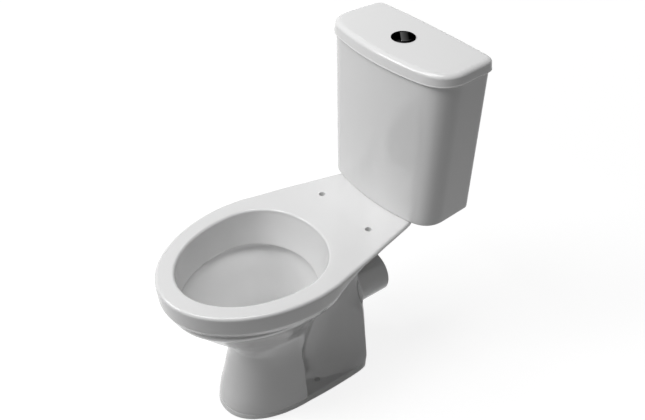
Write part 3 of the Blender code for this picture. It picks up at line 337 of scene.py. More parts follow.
def monotone(knots, values, places):
    """A cubic through values at knots with no overshoot: each slope is the harmonic mean of its
    neighbours' slopes where they agree in sign, and zero where they don't."""
    knots = np.asarray(knots, dtype=float)
    values = np.asarray(values, dtype=float)
    steps = np.diff(knots).reshape((-1,) + (1,) * (values.ndim - 1))
    rates = np.diff(values, axis=0) / steps
    inner = np.zeros_like(values)
    product = rates[:-1] * rates[1:]
    safe = np.where(product > 0, rates[:-1] + rates[1:], 1.0)
    inner[1:-1] = np.where(product > 0, 2 * product / safe, 0.0)
    inner[0] = rates[0]
    inner[-1] = rates[-1]
    places = np.asarray(places, dtype=float)
    cell = np.clip(np.searchsorted(knots, places, side="right") - 1, 0, len(knots) - 2)
    shape = (-1,) + (1,) * (values.ndim - 1)
    width = np.diff(knots)[cell].reshape(shape)
    t = (places - knots[cell]).reshape(shape) / width
    return ((2 * t ** 3 - 3 * t ** 2 + 1) * values[cell]
            + (t ** 3 - 2 * t ** 2 + t) * width * inner[cell]
            + (3 * t ** 2 - 2 * t ** 3) * values[cell + 1]
            + (t ** 3 - t ** 2) * width * inner[cell + 1])


def resample(line, count):
    """Place count points evenly along a polyline, by its length."""
    line = np.asarray(line, dtype=float)
    run = np.concatenate(([0.0], np.cumsum(np.linalg.norm(np.diff(line, axis=0), axis=1))))
    places = np.linspace(0.0, run[-1], count)
    return np.column_stack([np.interp(places, run, column) for column in line.T])


def quarter(front, widest, half_width, power=2.0, rear=False):
    """A quarter of a superellipse from the centre line to the widest place, or back again."""
    angles = np.linspace(0.0, math.pi / 2, quarter_points)
    if rear:
        angles = angles[::-1]
    across = np.sin(angles) ** (2 / power) * half_width
    along = widest - np.cos(angles) ** (2 / power) * (widest - front)
    return np.column_stack((across, along))


def matched(nose, side, rear):
    """A half outline whose three stretches always hold the same number of points."""
    return np.vstack((resample(nose, nose_points), resample(side, side_points)[1:],
                      resample(rear, rear_points)[1:]))


def arc(count):
    """Places along a quarter turn: 1 - cos and 1 - sin of its angle."""
    angles = np.linspace(0.0, math.pi / 2, count)
    return np.column_stack((1 - np.cos(angles), 1 - np.sin(angles)))


def full_turn(count):
    """Angles all the way round."""
    return np.linspace(0.0, 2 * math.pi, count, endpoint=False)


def egg_half(front, widest, rear, half_width, power=2.0):
    """Half an egg: a front quarter, and a rear quarter split in two stretches."""
    back = quarter(rear, widest, half_width, power, rear=True)
    split = int(len(back) * egg_split)
    return matched(quarter(front, widest, half_width), back[:split + 1], back[split:])


def smooth_curve(points, steps=12):
    """A no-overshoot curve through points, against their running length."""
    points = np.asarray(points, dtype=float)
    run = np.concatenate(([0.0], np.cumsum(np.linalg.norm(np.diff(points, axis=0), axis=1))))
    return monotone(run, points, np.linspace(0.0, run[-1], steps * len(points)))


def corner_curve(start, corner, finish, count):
    """A quadratic curve from start to finish that a corner point draws outwards."""
    t = np.linspace(0.0, 1.0, count)[:, None]
    return start * (1 - t) ** 2 + corner * 2 * t * (1 - t) + finish * t ** 2


def rim_half():
    """Half outline of the rim and deck."""
    side = [(pan_half_width, rim_widest)]
    side += [(deck_end_half_width + share * (pan_half_width - deck_end_half_width),
              along * deck_length) for along, share in rim_side_shares]
    side += [(deck_end_half_width, deck_length - deck_end_corner)]
    curve = smooth_curve(side)
    corner = np.array([deck_end_half_width, deck_length])
    turn = corner_curve(corner - (0.0, deck_end_corner), corner,
                        corner - (deck_end_corner, 0.0), 16)
    split = int(np.searchsorted(curve[:, 1], leg_end_share * deck_length))
    back = np.vstack((curve[split:], turn[1:], [(0.0, deck_length)]))
    return matched(quarter(0.0, rim_widest, pan_half_width), curve[:split + 1], back)


def leg_half(level):
    """Half outline of the outside below the rim at one level."""
    _, front, widest, width, station_widths = level
    nose = quarter(front * deck_length, widest * deck_length, width * pan_half_width, nose_power)
    side = [(width * pan_half_width, widest * deck_length)]
    side += [(share * pan_half_width, along * deck_length)
             for along, share in zip(leg_station_shares, station_widths)]
    side = smooth_curve(side)
    end = leg_end_share * deck_length
    across = side[-1, 0]
    turn = corner_curve(side[-1], np.array([across * leg_corner_share, end]),
                        np.array([across * leg_back_share, end]), 12)
    return matched(nose, side, np.vstack((turn, [(0.0, end)])))


def outward(half):
    """Unit normals of a half outline, square to the centre line at its ends."""
    ahead = np.gradient(half, axis=0)
    ahead[0] = (1.0, 0.0)
    ahead[-1] = (-1.0, 0.0)
    normal = np.column_stack((ahead[:, 1], -ahead[:, 0]))
    return normal / np.linalg.norm(normal, axis=1)[:, None]


def inset_half(half, distance):
    """Move a half outline inwards."""
    moved = half - outward(half) * np.reshape(distance, (-1, 1))
    moved[[0, -1], 0] = 0.0
    return moved


def ring(half, height):
    """Close a half outline with its mirror and lift it to its height above the floor."""
    height = np.broadcast_to(height, len(half))
    left = half[1:-1][::-1] * (-1.0, 1.0)
    flat = np.vstack((half, left)) + (0.0, bowl_front)
    return np.column_stack((flat, np.concatenate((height, height[1:-1][::-1]))))


def soften(rings, first, last, times):
    """Ease each ring between two of them towards the rings on either side of it."""
    for _ in range(times):
        stack = np.array(rings[first - 1:last + 1])
        rings[first:last] = list((stack[:-2] + 2 * stack[1:-1] + stack[2:]) / 4)


def skin_mesh(name, points, faces):
    """A mesh of points and faces whose faces all point outwards."""
    mesh = bpy.data.meshes.new(name)
    mesh.from_pydata(points.tolist(), [], faces)
    form = bmesh.new()
    form.from_mesh(mesh)
    bmesh.ops.recalc_face_normals(form, faces=form.faces)
    form.to_mesh(mesh)
    form.free()
    mesh.update()
    return mesh


def ring_faces(low, high, count):
    """Four-cornered faces from the rings that begin at the low numbers to those at the high."""
    here = np.arange(count)
    after = (here + 1) % count
    low, high = low[:, None], high[:, None]
    corners = np.stack((low + here, low + after, high + after, high + here), axis=-1)
    return corners.reshape(-1, 4).tolist()


def grid_mesh(name, rings):
    """A closed skin over rings of equal count, with a centre point closing each end."""
    rings = np.asarray(rings)
    levels, count = rings.shape[:2]
    ends = (rings[0].mean(axis=0), rings[-1].mean(axis=0))
    points = np.vstack((rings.reshape(-1, 3), ends))
    starts = np.arange(levels) * count
    here = np.arange(count)
    after = (here + 1) % count
    start_point = np.full(count, levels * count)
    start_fan = np.column_stack((after, here, start_point))
    end_fan = np.column_stack((starts[-1] + here, starts[-1] + after, start_point + 1))
    faces = ring_faces(starts[:-1], starts[1:], count) + start_fan.tolist() + end_fan.tolist()
    return skin_mesh(name, points, faces)


def lathe_rings(profile, place, count):
    """A surface of revolution: a profile of (radius, height) points carried round an axis."""
    profile = np.asarray(profile, dtype=float)
    angles = full_turn(count)
    rings = np.empty((len(profile), count, 3))
    rings[..., 0] = profile[:, 0, None] * np.cos(angles)
    rings[..., 1] = profile[:, 0, None] * np.sin(angles)
    rings[..., 2] = profile[:, 1, None]
    origin, axes = place
    return rings @ np.asarray(axes) + np.asarray(origin)


def lathe_mesh(name, profile, place, count=64):
    """A surface of revolution that a point closes at each end."""
    return grid_mesh(name, lathe_rings(profile, place, count))


def upright(x, y, z):
    """An upright place at a point: an origin and three axes, as rows."""
    return (x, y, z), ((1.0, 0.0, 0.0), (0.0, 1.0, 0.0), (0.0, 0.0, 1.0))


def lying():
    """The outlet's place, whose third axis runs towards the wall."""
    return (0.0, 0.0, outlet_height), ((1.0, 0.0, 0.0), (0.0, 0.0, -1.0), (0.0, 1.0, 0.0))


def new_object(name, data):
    """An object that stands in the scene."""
    made = bpy.data.objects.new(name, data)
    bpy.context.scene.collection.objects.link(made)
    return made


def add_piece(name, mesh, body, material):
    """A mesh as a piece that rides on a body."""
    piece = new_object(name, mesh)
    mesh.materials.clear()
    mesh.materials.append(material)
    mesh.shade_smooth()
    mesh.set_sharp_from_angle(angle=sharp_angle)
    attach(piece, body)
    return piece


def cut_mesh(mesh, cutters):
    """Cut meshes out of a mesh and give back the result."""
    holder = new_object("cut_holder", mesh)
    helpers = [new_object("cut_helper", cutter) for cutter in cutters]
    for helper in helpers:
        modifier = holder.modifiers.new("cut", "BOOLEAN")
        modifier.operation = "DIFFERENCE"
        modifier.solver = "MANIFOLD"
        modifier.object = helper
    graph = bpy.context.evaluated_depsgraph_get()
    result = bpy.data.meshes.new_from_object(holder.evaluated_get(graph))
    for used in (holder, *helpers):
        bpy.data.objects.remove(used, do_unlink=True)
    if not result.polygons:
        raise RuntimeError(f"cutting {mesh.name} left nothing")
    return result


def new_group(name, inputs, outputs):
    """A shader node group with named sockets: a colour where the name says so, or a number."""
    group = bpy.data.node_groups.new(name, "ShaderNodeTree")
    kinds = {"Color": "NodeSocketColor"}
    for label, value in inputs:
        kind = kinds.get(label, "NodeSocketFloat")
        socket = group.interface.new_socket(name=label, in_out="INPUT", socket_type=kind)
        socket.default_value = value
    for label in outputs:
        kind = kinds.get(label, "NodeSocketFloat")
        group.interface.new_socket(name=label, in_out="OUTPUT", socket_type=kind)
    return group, group.nodes.new("NodeGroupInput"), group.nodes.new("NodeGroupOutput")


def add_node(tree, kind, operation=None, **values):
    """A shader node with its operation and the values of its inputs, named with underscores."""
    node = tree.nodes.new("ShaderNode" + kind)
    if operation:
        node.operation = operation
    for name, value in values.items():
        node.inputs[name.replace("_", " ")].default_value = value
    return node


def join(source, output, target, entry):
    """Link an output of one node to an input of another."""
    source.id_data.links.new(source.outputs[output], target.inputs[entry])


def even_shade(level):
    """One level in all three colours."""
    return (level, level, level, 1.0)


def surface_group():
    """Slight colour drift, uneven gloss and fine unevenness, read from the object's own place."""
    found = bpy.data.node_groups.get("surface_drift")
    if found:
        return found
    inputs = (("Color", even_shade(0.8)), ("Dark", 0.96), ("Drift Scale", 6.0),
              ("Fine Scale", 120.0), ("Roughness", 0.1), ("Roughness Spread", 0.05))
    group, start, end = new_group("surface_drift", inputs, ("Color", "Roughness", "Height"))
    place = add_node(group, "TexCoord")
    drift = add_node(group, "TexNoise", Detail=3.0)
    fine = add_node(group, "TexNoise", Detail=2.0)
    for noise, scale in ((drift, "Drift Scale"), (fine, "Fine Scale")):
        join(place, "Object", noise, "Vector")
        join(start, scale, noise, "Scale")
    shade = add_node(group, "MapRange", From_Min=0.3, From_Max=0.7, To_Max=1.0)
    join(drift, "Fac", shade, "Value")
    join(start, "Dark", shade, "To Min")
    tint = add_node(group, "VectorMath", "SCALE")
    join(start, "Color", tint, 0)
    join(shade, "Result", tint, "Scale")
    join(tint, "Vector", end, "Color")
    spread = add_node(group, "Math", "MULTIPLY_ADD")
    join(drift, "Fac", spread, 0)
    join(start, "Roughness Spread", spread, 1)
    join(start, "Roughness", spread, 2)
    join(spread, "Value", end, "Roughness")
    join(fine, "Fac", end, "Height")
    return group


def make_material(name, color, roughness, metallic=0.0, drift=6.0, fine=120.0, dark=0.95,
                  spread=0.05, bump=0.02, depth=0.0002, coat=0.0):
    """A finish with drifting colour and gloss and a fine uneven surface."""
    material = bpy.data.materials.get(name)
    if material:
        return material
    material = bpy.data.materials.new(name)
    material.use_nodes = True
    tree = material.node_tree
    shader = tree.nodes["Principled BSDF"]
    surface = add_node(tree, "Group")
    surface.node_tree = surface_group()
    for label, value in (("Color", (*color, 1.0)), ("Dark", dark), ("Drift Scale", drift),
                         ("Fine Scale", fine), ("Roughness", roughness),
                         ("Roughness Spread", spread)):
        surface.inputs[label].default_value = value
    relief = add_node(tree, "Bump", Strength=bump, Distance=depth)
    join(surface, "Color", shader, "Base Color")
    join(surface, "Roughness", shader, "Roughness")
    join(surface, "Height", relief, "Height")
    join(relief, "Normal", shader, "Normal")
    shader.inputs["Metallic"].default_value = metallic
    shader.inputs["Coat Weight"].default_value = coat
    shader.inputs["Coat Roughness"].default_value = 0.04
    material.diffuse_color = (*color, 1.0)
    return material


def china_material():
    """White glaze: a hard clear coat over a faintly uneven white body."""
    settings = bpy.context.scene.toilet_china
    return make_material("white_glaze", settings.glaze_color, settings.glaze_roughness, drift=4.0,
                         fine=35.0, dark=0.975, spread=0.06, bump=0.10, depth=0.0006, coat=0.15)


def painted_dark_chrome_material(name):
    """Chrome painted as dark as it looks where it mirrors a dim room: the near-black colour and
    the dark specular tint are painted shade.
    """
    settings = bpy.context.scene.toilet_fittings
    material = make_material(name, settings.chrome_painted_dark_color, 0.07, metallic=1.0, drift=60.0,
                             fine=400.0, dark=0.93, bump=0.04, depth=0.0001)
    shader = material.node_tree.nodes["Principled BSDF"]
    shader.inputs["Specular Tint"].default_value = even_shade(chrome_dimming_tint)
    return material


def plastic_material(name, color):
    """Moulded plastic with a fine dull grain."""
    return make_material(name, color, 0.34, drift=25.0, fine=900.0, dark=0.93, spread=0.12,
                         bump=0.15)


def metal_material(name, color, roughness, fine, dark):
    """Plated or cast metal, dulled unevenly."""
    return make_material(name, color, roughness, metallic=1.0, drift=50.0, fine=fine, dark=dark,
                         spread=0.2, bump=0.2)


def deck_thickness(half):
    """The rim's depth at the front, thinning smoothly to the deck's at the back."""
    thin = smoothstep(half[:, 1] / deck_length, deck_thins_from, deck_thins_to)
    return rim_depth + (deck_depth - rim_depth) * thin, thin


def blend(at_rim, at_deck, thin):
    """A size at the rim that turns into its size at the deck as the rim thins."""
    return at_rim + (at_deck - at_rim) * thin


def foot_rings():
    """Rings from the middle of the foot's underside, up the foot and over the land round the
    leg, and the height at which they end."""
    foot = np.array([leg_half(level) for level in foot_level_shares])
    heights = np.array([level[0] for level in foot_level_shares]) * pan_height
    across = leg_half(leg_level_shares[0]) - foot[-1]
    land = heights[-1]
    rings = [ring(shrink(foot[0], share), 0.0) for share in (0.3, 0.7, 0.97)]
    rings += [ring(monotone(heights, foot, [height])[0], height)
              for height in np.linspace(0.0, land + land_profile[0][1], 14)]
    rings += [ring(foot[-1] + across * share, land + rise) for share, rise in land_profile]
    return rings, land + land_profile[-1][1]


def leg_rings(start, stop):
    """Rings up the leg and the bowl's outside from a height to a height for each point, and the
    last half outline. The levels are drawn finely and each point is read between two of them."""
    levels = np.array([level[0] for level in leg_level_shares]) * pan_height
    heights = np.linspace(levels[0], levels[-1], leg_levels_read)
    sides = monotone(levels, np.array([leg_half(level) for level in leg_level_shares]), heights)
    column = np.arange(sides.shape[1])
    rings = []
    for share in np.linspace(0.0, 1.0, leg_ring_count)[1:]:
        level = start + (stop - start) * share
        cell = np.clip(np.searchsorted(heights, level) - 1, 0, len(heights) - 2)
        t = ((level - heights[cell]) / (heights[cell + 1] - heights[cell]))[:, None]
        half = sides[cell, column] * (1 - t) + sides[cell + 1, column] * t
        rings.append(ring(half, level))
    return rings, half


def under_rim_rings(rim, last, depth, thin):
    """Rings out under the rim to its crease and up the edge band to the rounded edge."""
    end = smoothstep(rim[:, 1] / deck_length, deck_end_from, 1.0)
    under = blend(rim_crease_inset, deck_under_inset, thin)
    under = under + (deck_end_under_inset - deck_under_inset) * end
    crease = inset_half(rim, under)
    top = pan_height - depth
    rings = [ring(last + (crease - last) * share, top - crease_fillet * thin * (1 - share) ** 3)
             for share in np.linspace(0.0, 1.0, crease_rings + 1)[1:]]
    edge = bpy.context.scene.toilet_china.rim_radius
    insets = np.array([under, blend(*roll_inset, thin), blend(*side_inset, thin), 0 * thin])
    drops = np.array([depth, blend(*roll_depth, thin), blend(*side_depth, thin), edge + 0 * thin])
    for share in np.linspace(0.0, 3.0, band_rings + 1)[1:]:
        inset = monotone(range(4), insets, [share])[0]
        drop = monotone(range(4), drops, [share])[0]
        rings.append(ring(inset_half(rim, inset), pan_height - drop))
    return rings


def top_rings(rim):
    """Rings over the rim's rounded edge, across its flat top and over the mouth's edge."""
    settings = bpy.context.scene.toilet_china
    radius = settings.rim_radius
    rings = [ring(inset_half(rim, radius * come), pan_height - radius * left)
             for come, left in arc(edge_steps)[1:]]
    outer = inset_half(rim, radius)
    radius = settings.mouth_radius
    opening = egg_half(*mouth, mouth_power)
    inner = inset_half(opening, -radius)
    rings += [ring(outer + (inner - outer) * share, pan_height)
              for share in np.linspace(0.0, 1.0, 12)[1:-1]]
    rings += [ring(inset_half(opening, -radius * left), pan_height - radius * come)
              for come, left in arc(edge_steps)]
    return rings


def mouth_rings():
    """Rings down the mouth's wall and round under its lip."""
    radius = bpy.context.scene.toilet_china.mouth_radius
    rings = []
    for share in np.linspace(0.0, 1.0, wall_ring_count)[1:]:
        sizes = [a + (b - a) * share for a, b in zip(mouth, lip)]
        power = mouth_power + (lip_power - mouth_power) * share
        drop = radius + (wall_depth - lip_radius - radius) * share
        rings.append(ring(egg_half(*sizes, power), pan_height - drop))
    low = pan_height - wall_depth + lip_radius
    rings += [ring(inset_half(egg_half(*lip), -lip_radius * (1 - math.cos(angle))),
                   low - lip_radius * math.sin(angle))
              for angle in np.linspace(0.0, lip_turn, 10)[1:]]
    return rings


def bowl_rings():
    """Rings down the bowl and in to the middle of its sump."""
    levels = np.array(bowl_level_shares)
    rings = []
    for height in np.linspace(levels[0, 0], levels[-1, 0], bowl_ring_count):
        row = monotone(levels[::-1, 0], levels[::-1], [height])[0]
        half = egg_half(*(row[1:4] * deck_length), row[4] * pan_half_width)
        rings.append(ring(half, height * pan_height))
    bottom = rings[-1]
    middle = bottom.mean(axis=0)
    rings += [middle + (bottom - middle) * share for share in (0.6, 0.2)]
    return rings


def pan_rings():
    """Every ring of the pan's skin, from the middle of the foot's underside, up the outside,
    over the rim, down the mouth's wall, under the lip and down the bowl to its sump."""
    rim = rim_half()
    depth, thin = deck_thickness(rim)
    rings, start = foot_rings()
    sides, last = leg_rings(start, pan_height - depth - crease_fillet * thin)
    rings += sides
    crease_at = len(rings)
    rings += under_rim_rings(rim, last, depth, thin)
    before, after = crease_soft_rings
    soften(rings, crease_at - before, crease_at + after, crease_soft_times)
    return np.array(rings + top_rings(rim) + mouth_rings() + bowl_rings())


def shrink(half, share):
    """Draw a half outline in towards its middle."""
    middle = np.array([0.0, (half[0, 1] + half[-1, 1]) / 2])
    return middle + (half - middle) * share


def tube_rings(points, radius):
    """A round tube: a circle square to the path at each of its points, in the plane x = 0."""
    points = np.asarray(points, dtype=float)
    ahead = np.gradient(points, axis=0)
    ahead /= np.linalg.norm(ahead, axis=1)[:, None]
    side = np.array([1.0, 0.0, 0.0])
    up = np.cross(ahead, side)
    angles = full_turn(trap_sides)
    return (points[:, None] + radius * (np.cos(angles)[None, :, None] * side
                                        + np.sin(angles)[None, :, None] * up[:, None]))


def hole_cutter(x, along, radius, low, high):
    """An upright hole whose upper edge is rounded over."""
    profile = [(radius, low)]
    profile += [(radius + hole_flare * come, high - hole_flare * left) for come, left in arc(7)]
    profile += [(radius + hole_flare, high + hole_flare)]
    return lathe_mesh("hole", profile, upright(x, bowl_front + along, 0.0), 40)


class TOILET_OT_pan(bpy.types.Operator):
    """Build the china pan with its outlet and the duct under its deck"""

    bl_idname = "toilet.pan"
    bl_label = "Pan"

    def execute(self, context):
        glaze = china_material()
        mesh = grid_mesh("china_pan", pan_rings())
        route = smooth_curve([(0.0, bowl_front + along * deck_length, share * pan_height)
                              for along, share in trap_route_shares], 8)
        bore = outlet_radius - outlet_wall
        cutters = [grid_mesh("trap_way", tube_rings(route, trap_radius)),
                   lathe_mesh("outlet_way", [(bore, route[-1][1] - trap_radius),
                                             (bore, bowl_front + outlet_bore_front)], lying())]
        under_deck = pan_height - deck_depth - cut_overrun
        for x, along, radius, low, high in (
                (hinge_place, hinge_from_front, hinge_hole_radius, under_deck, pan_height),
                (fixing_place, fixing_from_front, fixing_hole_radius, -cut_overrun,
                 fixing_hole_top)):
            cutters += [hole_cutter(side * x, along, radius, low, high) for side in (-1, 1)]
        pan = add_piece("china_pan", cut_mesh(mesh, cutters), "toilet", glaze)
        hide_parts("pan")
        for name, made in (("china_outlet", spigot_mesh()), ("china_duct", duct_mesh())):
            piece = add_piece(name, made, "toilet", glaze)
        return {"FINISHED"}


def spigot_mesh():
    """The outlet: a flared root, a straight outside, a rounded end and the bore."""
    end = bowl_front + outlet_end
    root = bowl_front + outlet_root
    bore = outlet_radius - outlet_wall
    turn = arc(16)
    profile = [(bore, root - outlet_fillet)]
    profile += [(outlet_radius + outlet_fillet * left, root + outlet_fillet * come)
                for come, left in turn]
    profile += [(outlet_radius - outlet_edge * come, end - outlet_edge * left)
                for come, left in turn]
    profile += [(bore + outlet_edge * left, end - outlet_edge * come) for come, left in turn]
    profile += [(bore, root - outlet_fillet)]
    return looped_mesh("china_outlet", lathe_rings(profile, lying(), spigot_sides))


def looped_mesh(name, rings):
    """A closed skin whose last ring lies on its first."""
    rings = np.asarray(rings)[:-1]
    levels, count = rings.shape[:2]
    starts = np.arange(levels) * count
    faces = ring_faces(starts, np.roll(starts, -1), count)
    return skin_mesh(name, rings.reshape(-1, 3), faces)


def duct_mesh():
    """The duct under the deck: a rounded-box section carried along y, closed at both ends."""
    angles = full_turn(duct_sides)
    across = np.sign(np.cos(angles)) * np.abs(np.cos(angles)) ** duct_power * duct_half_width
    middle = pan_height - (duct_top + duct_depth) / 2
    tall = (duct_depth - duct_top) / 2
    up = np.sign(np.sin(angles)) * np.abs(np.sin(angles)) ** duct_power * tall
    rings = []
    for from_back, inset in ((duct_back - duct_front, 0.0), *duct_end_profile):
        y = np.full(len(angles), bowl_front + duct_back - from_back)
        rings.append(np.column_stack((across * (1 - inset / duct_half_width), y,
                                      middle + up * (1 - inset / tall))))
    return grid_mesh("china_duct", rings)


def tank_half(front, bow, back, half_front, half_back, corner, back_corner):
    """Half of a D-shaped outline: a parabola across the front, a quadratic corner, a straight
    side and a quadratic back corner."""
    across = np.linspace(0.0, half_front - corner, 40)
    bowed = np.column_stack((across, front + bow * (across / half_front) ** 2))
    corner_y = front + bow
    slope = (half_back - half_front) / (back - corner_y)
    side_start = np.array([half_front + slope * corner, corner_y + corner])
    turn = corner_curve(bowed[-1], np.array([half_front, corner_y]), side_start, 30)
    side_end = np.array([half_back - slope * back_corner, back - back_corner])
    finish = np.array([half_back - back_corner, back])
    back_turn = corner_curve(side_end, np.array([half_back, back]), finish, 30)
    return matched(np.vstack((bowed, turn[1:])), np.vstack((turn[-1:], back_turn)),
                   np.vstack((finish[None], [(0.0, back)])))


def body_half(height, inset=0.0):
    """The cistern's half outline at a height above the deck, or one that far inside it."""
    share = height / cistern_height
    front, bow, half_width, corner = [
        a + (b - a) * share for a, b in zip(cistern_foot, cistern_top)]
    half_width -= inset
    return tank_half(front + inset, bow, cistern_back - inset, half_width,
                     half_width - cistern_back_draw, corner - inset, cistern_back_corner)


def body_ring(height, inset=0.0):
    """A ring of the cistern's body at a height above the deck."""
    return ring(body_half(height, inset), pan_height + height)


def cistern_rings():
    """Rings of the cistern's skin, from under its foot, up the outside, over its edge and down
    the inside to its floor."""
    foot = cistern_foot_radius
    edge = cistern_edge_radius
    low = cistern_floor_radius
    rings = [ring(shrink(body_half(0.0, foot), share), pan_height + body_gap)
             for share in (0.2, 0.6, 0.95)]
    turn = arc(8)
    rings += [body_ring(body_gap + foot * come, foot * left) for come, left in turn]
    rings += [body_ring(height)
              for height in np.linspace(body_gap + foot, cistern_height - edge, 30)[1:]]
    rings += [body_ring(cistern_height - edge * left, edge * come) for come, left in turn[1:]]
    rings += [body_ring(cistern_height - edge * come, cistern_wall - edge * left)
              for come, left in turn]
    rings += [body_ring(height, cistern_wall)
              for height in np.linspace(cistern_height - edge, cistern_floor + low, 20)[1:]]
    rings += [body_ring(cistern_floor + low * left, cistern_wall + low * come)
              for come, left in turn[1:]]
    last = body_half(cistern_floor, cistern_wall + low)
    rings += [ring(shrink(last, share), pan_height + cistern_floor) for share in (0.8, 0.4, 0.1)]
    return np.array(rings)


class TOILET_OT_cistern(bpy.types.Operator):
    """Build the cistern body"""

    bl_idname = "toilet.cistern"
    bl_label = "Cistern"

    def execute(self, context):
        mesh = grid_mesh("china_cistern", cistern_rings())
        through = cistern_floor + cut_overrun
        cutters = []
        for x, radius, high in (
                (0.0, nut_pocket_radius, nut_pocket_depth),
                (0.0, valve_hole_radius, through),
                (supply_place, supply_hole_radius, through),
                (-bolt_place, bolt_hole_radius, through),
                (bolt_place, bolt_hole_radius, through)):
            cutters.append(lathe_mesh("hole", [(radius, -cut_overrun), (radius, high)],
                                      upright(x, valve_y, pan_height), 48))
        cut = cut_mesh(mesh, cutters)
        cistern = add_piece("china_cistern", cut, "toilet", china_material())
        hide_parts("cistern_body")
        return {"FINISHED"}


def lid_rings():
    """Rings of the lid's skin, from the middle of its ceiling, down inside the skirt, round its
    foot with the small bead, up the outside and over the crowned top."""
    settings = bpy.context.scene.toilet_china
    half = tank_half(lid_front, lid_bow, lid_back, lid_half_width_front, lid_half_width_back,
                     lid_corner, lid_back_corner)

    def crown(line):
        return settings.lid_crown * (line[:, 0] / lid_half_width_back) ** 2

    inside = inset_half(half, lid_skirt_inset)
    ceiling = cistern_height + body_gap
    skirt_low = lid_top - settings.lid_crown / 2 - lid_skirt_height
    rings = [ring(shrink(inside, share), pan_height + ceiling) for share in (0.2, 0.5, 0.8, 0.99)]
    rings += [ring(inside, pan_height + height)
              for height in np.linspace(ceiling, skirt_low + skirt_foot[0][1], 8)[:-1]]
    rings += [ring(inset_half(half, -out), pan_height + skirt_low + rise)
              for out, rise in skirt_foot]
    flare, foot_rise = skirt_foot[-1]
    start = skirt_low + foot_rise
    stop = lid_top - settings.lid_edge_depth - crown(half)
    for share in np.linspace(0.0, 1.0, 10)[1:]:
        rings.append(ring(inset_half(half, -flare * (1 - share)),
                          pan_height + start + (stop - start) * share))
    rings += [ring(inset_half(half, lid_edge_width * come),
                   pan_height + stop + settings.lid_edge_depth * (1 - left))
              for come, left in arc(14)[1:]]
    flat = inset_half(half, lid_edge_width)
    for share in np.linspace(1.0, 0.02, 16)[1:]:
        small = shrink(flat, share)
        rings.append(ring(small, pan_height + lid_top - crown(small)))
    return np.array(rings)


class TOILET_OT_lid(bpy.types.Operator):
    """Build the cistern's lift-off lid"""

    bl_idname = "toilet.lid"
    bl_label = "Lid"

    def execute(self, context):
        mesh = grid_mesh("china_lid", lid_rings())
        profile = [(button_hole_radius, cistern_height - cut_overrun),
                   (button_hole_radius, lid_top + cut_overrun)]
        hole = lathe_mesh("button_hole", profile, upright(0.0, valve_y, pan_height))
        lid = add_piece("china_lid", cut_mesh(mesh, [hole]), "lid", china_material())
        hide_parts("cistern_lid")
        return {"FINISHED"}


class TOILET_OT_button(bpy.types.Operator):
    """Finish the chrome ring and the two halves of the push button, in painted dark chrome with a
    painted reflection on the halves
    """

    bl_idname = "toilet.button"
    bl_label = "Push button"

    def execute(self, context):
        finish_node("button_bezel", painted_dark_chrome_material("painted_dark_chrome"))
        for name in ("full_flush_button", "half_flush_button"):
            finish_node(name, painted_reflection_button_material())
        return {"FINISHED"}


def painted_reflection_button_material():
    """Polished chrome with a painted reflection: darker away from the split, as it looks where it
    mirrors a room.
    """
    material = painted_dark_chrome_material("painted_reflection_button")
    tree = material.node_tree
    place = add_node(tree, "TexCoord")
    across = add_node(tree, "VectorMath", "DOT_PRODUCT")
    across.inputs[1].default_value = (math.cos(button_turn), math.sin(button_turn), 0.0)
    middle = valve_y * math.sin(button_turn)
    share = add_node(tree, "MapRange", From_Min=middle - button_radius,
                     From_Max=middle + button_radius)
    # Painted reflection: the ramp lays a light band beside the split that fades towards the
    # button's far edge
    shades = add_node(tree, "ValToRGB")
    stops = shades.color_ramp.elements
    stops[0].color = stops[1].color = even_shade(button_painted_dark)
    for at, shade in button_painted_reflection:
        stops.new(at).color = even_shade(shade)
    join(place, "Object", across, 0)
    join(across, "Value", share, "Value")
    join(share, "Result", shades, "Fac")
    join(shades, "Color", tree.nodes["Group"], "Color")
    return material


def finish_node(name, material):
    """Put a finish on a CAD node."""
    node = frame["nodes"][name]
    for slot in node.material_slots:
        slot.material = material


class TOILET_OT_fittings(bpy.types.Operator):
    """Finish the valves, levers, bolts, nuts and washers"""

    bl_idname = "toilet.fittings"
    bl_label = "Fittings"

    def execute(self, context):
        colors = context.scene.toilet_fittings
        by_slot = {
            "white_plastic": plastic_material("white_moulding", colors.plastic_color),
            "grey_plastic": plastic_material("grey_moulding", colors.grey_color),
            "blue_plastic": plastic_material("blue_moulding", colors.blue_color),
            "red_plastic": plastic_material("red_moulding", colors.red_color),
            "rubber": make_material("black_rubber", (0.03, 0.03, 0.03), 0.6, drift=40.0,
                                    fine=700.0, dark=0.7, spread=0.2, bump=0.3, depth=0.0004),
            "steel": metal_material("plated_steel", (0.55, 0.55, 0.56), 0.25, 800.0, 0.85),
            "brass": metal_material("dull_brass", (0.62, 0.46, 0.20), 0.28, 600.0, 0.8),
        }
        for entry in frame["record"]["subparts"]:
            if entry["material_slot"] in by_slot:
                finish_node(entry["node"], by_slot[entry["material_slot"]])
        return {"FINISHED"}


def area_light(name, place, power):
    """A large soft lamp that faces a point."""
    lamp = bpy.data.lights.new(name, "AREA")
    lamp.shape = "RECTANGLE"
    lamp.size = lamp_width
    lamp.size_y = lamp_height
    lamp.energy = power
    holder = new_object(name, lamp)
    holder.location = place
    ahead = Vector(lamp_target) - Vector(place)
    holder.rotation_euler = ahead.to_track_quat("-Z", "Y").to_euler()


def seen_directly(tree):
    """One where a ray comes from the camera, from gloss or through glass, and zero otherwise."""
    path = add_node(tree, "LightPath")
    mirror = add_node(tree, "Math", "MAXIMUM")
    seen = add_node(tree, "Math", "MAXIMUM")
    join(path, "Is Glossy Ray", mirror, 0)
    join(path, "Is Transmission Ray", mirror, 1)
    join(path, "Is Camera Ray", seen, 0)
    join(mirror, "Value", seen, 1)
    return seen


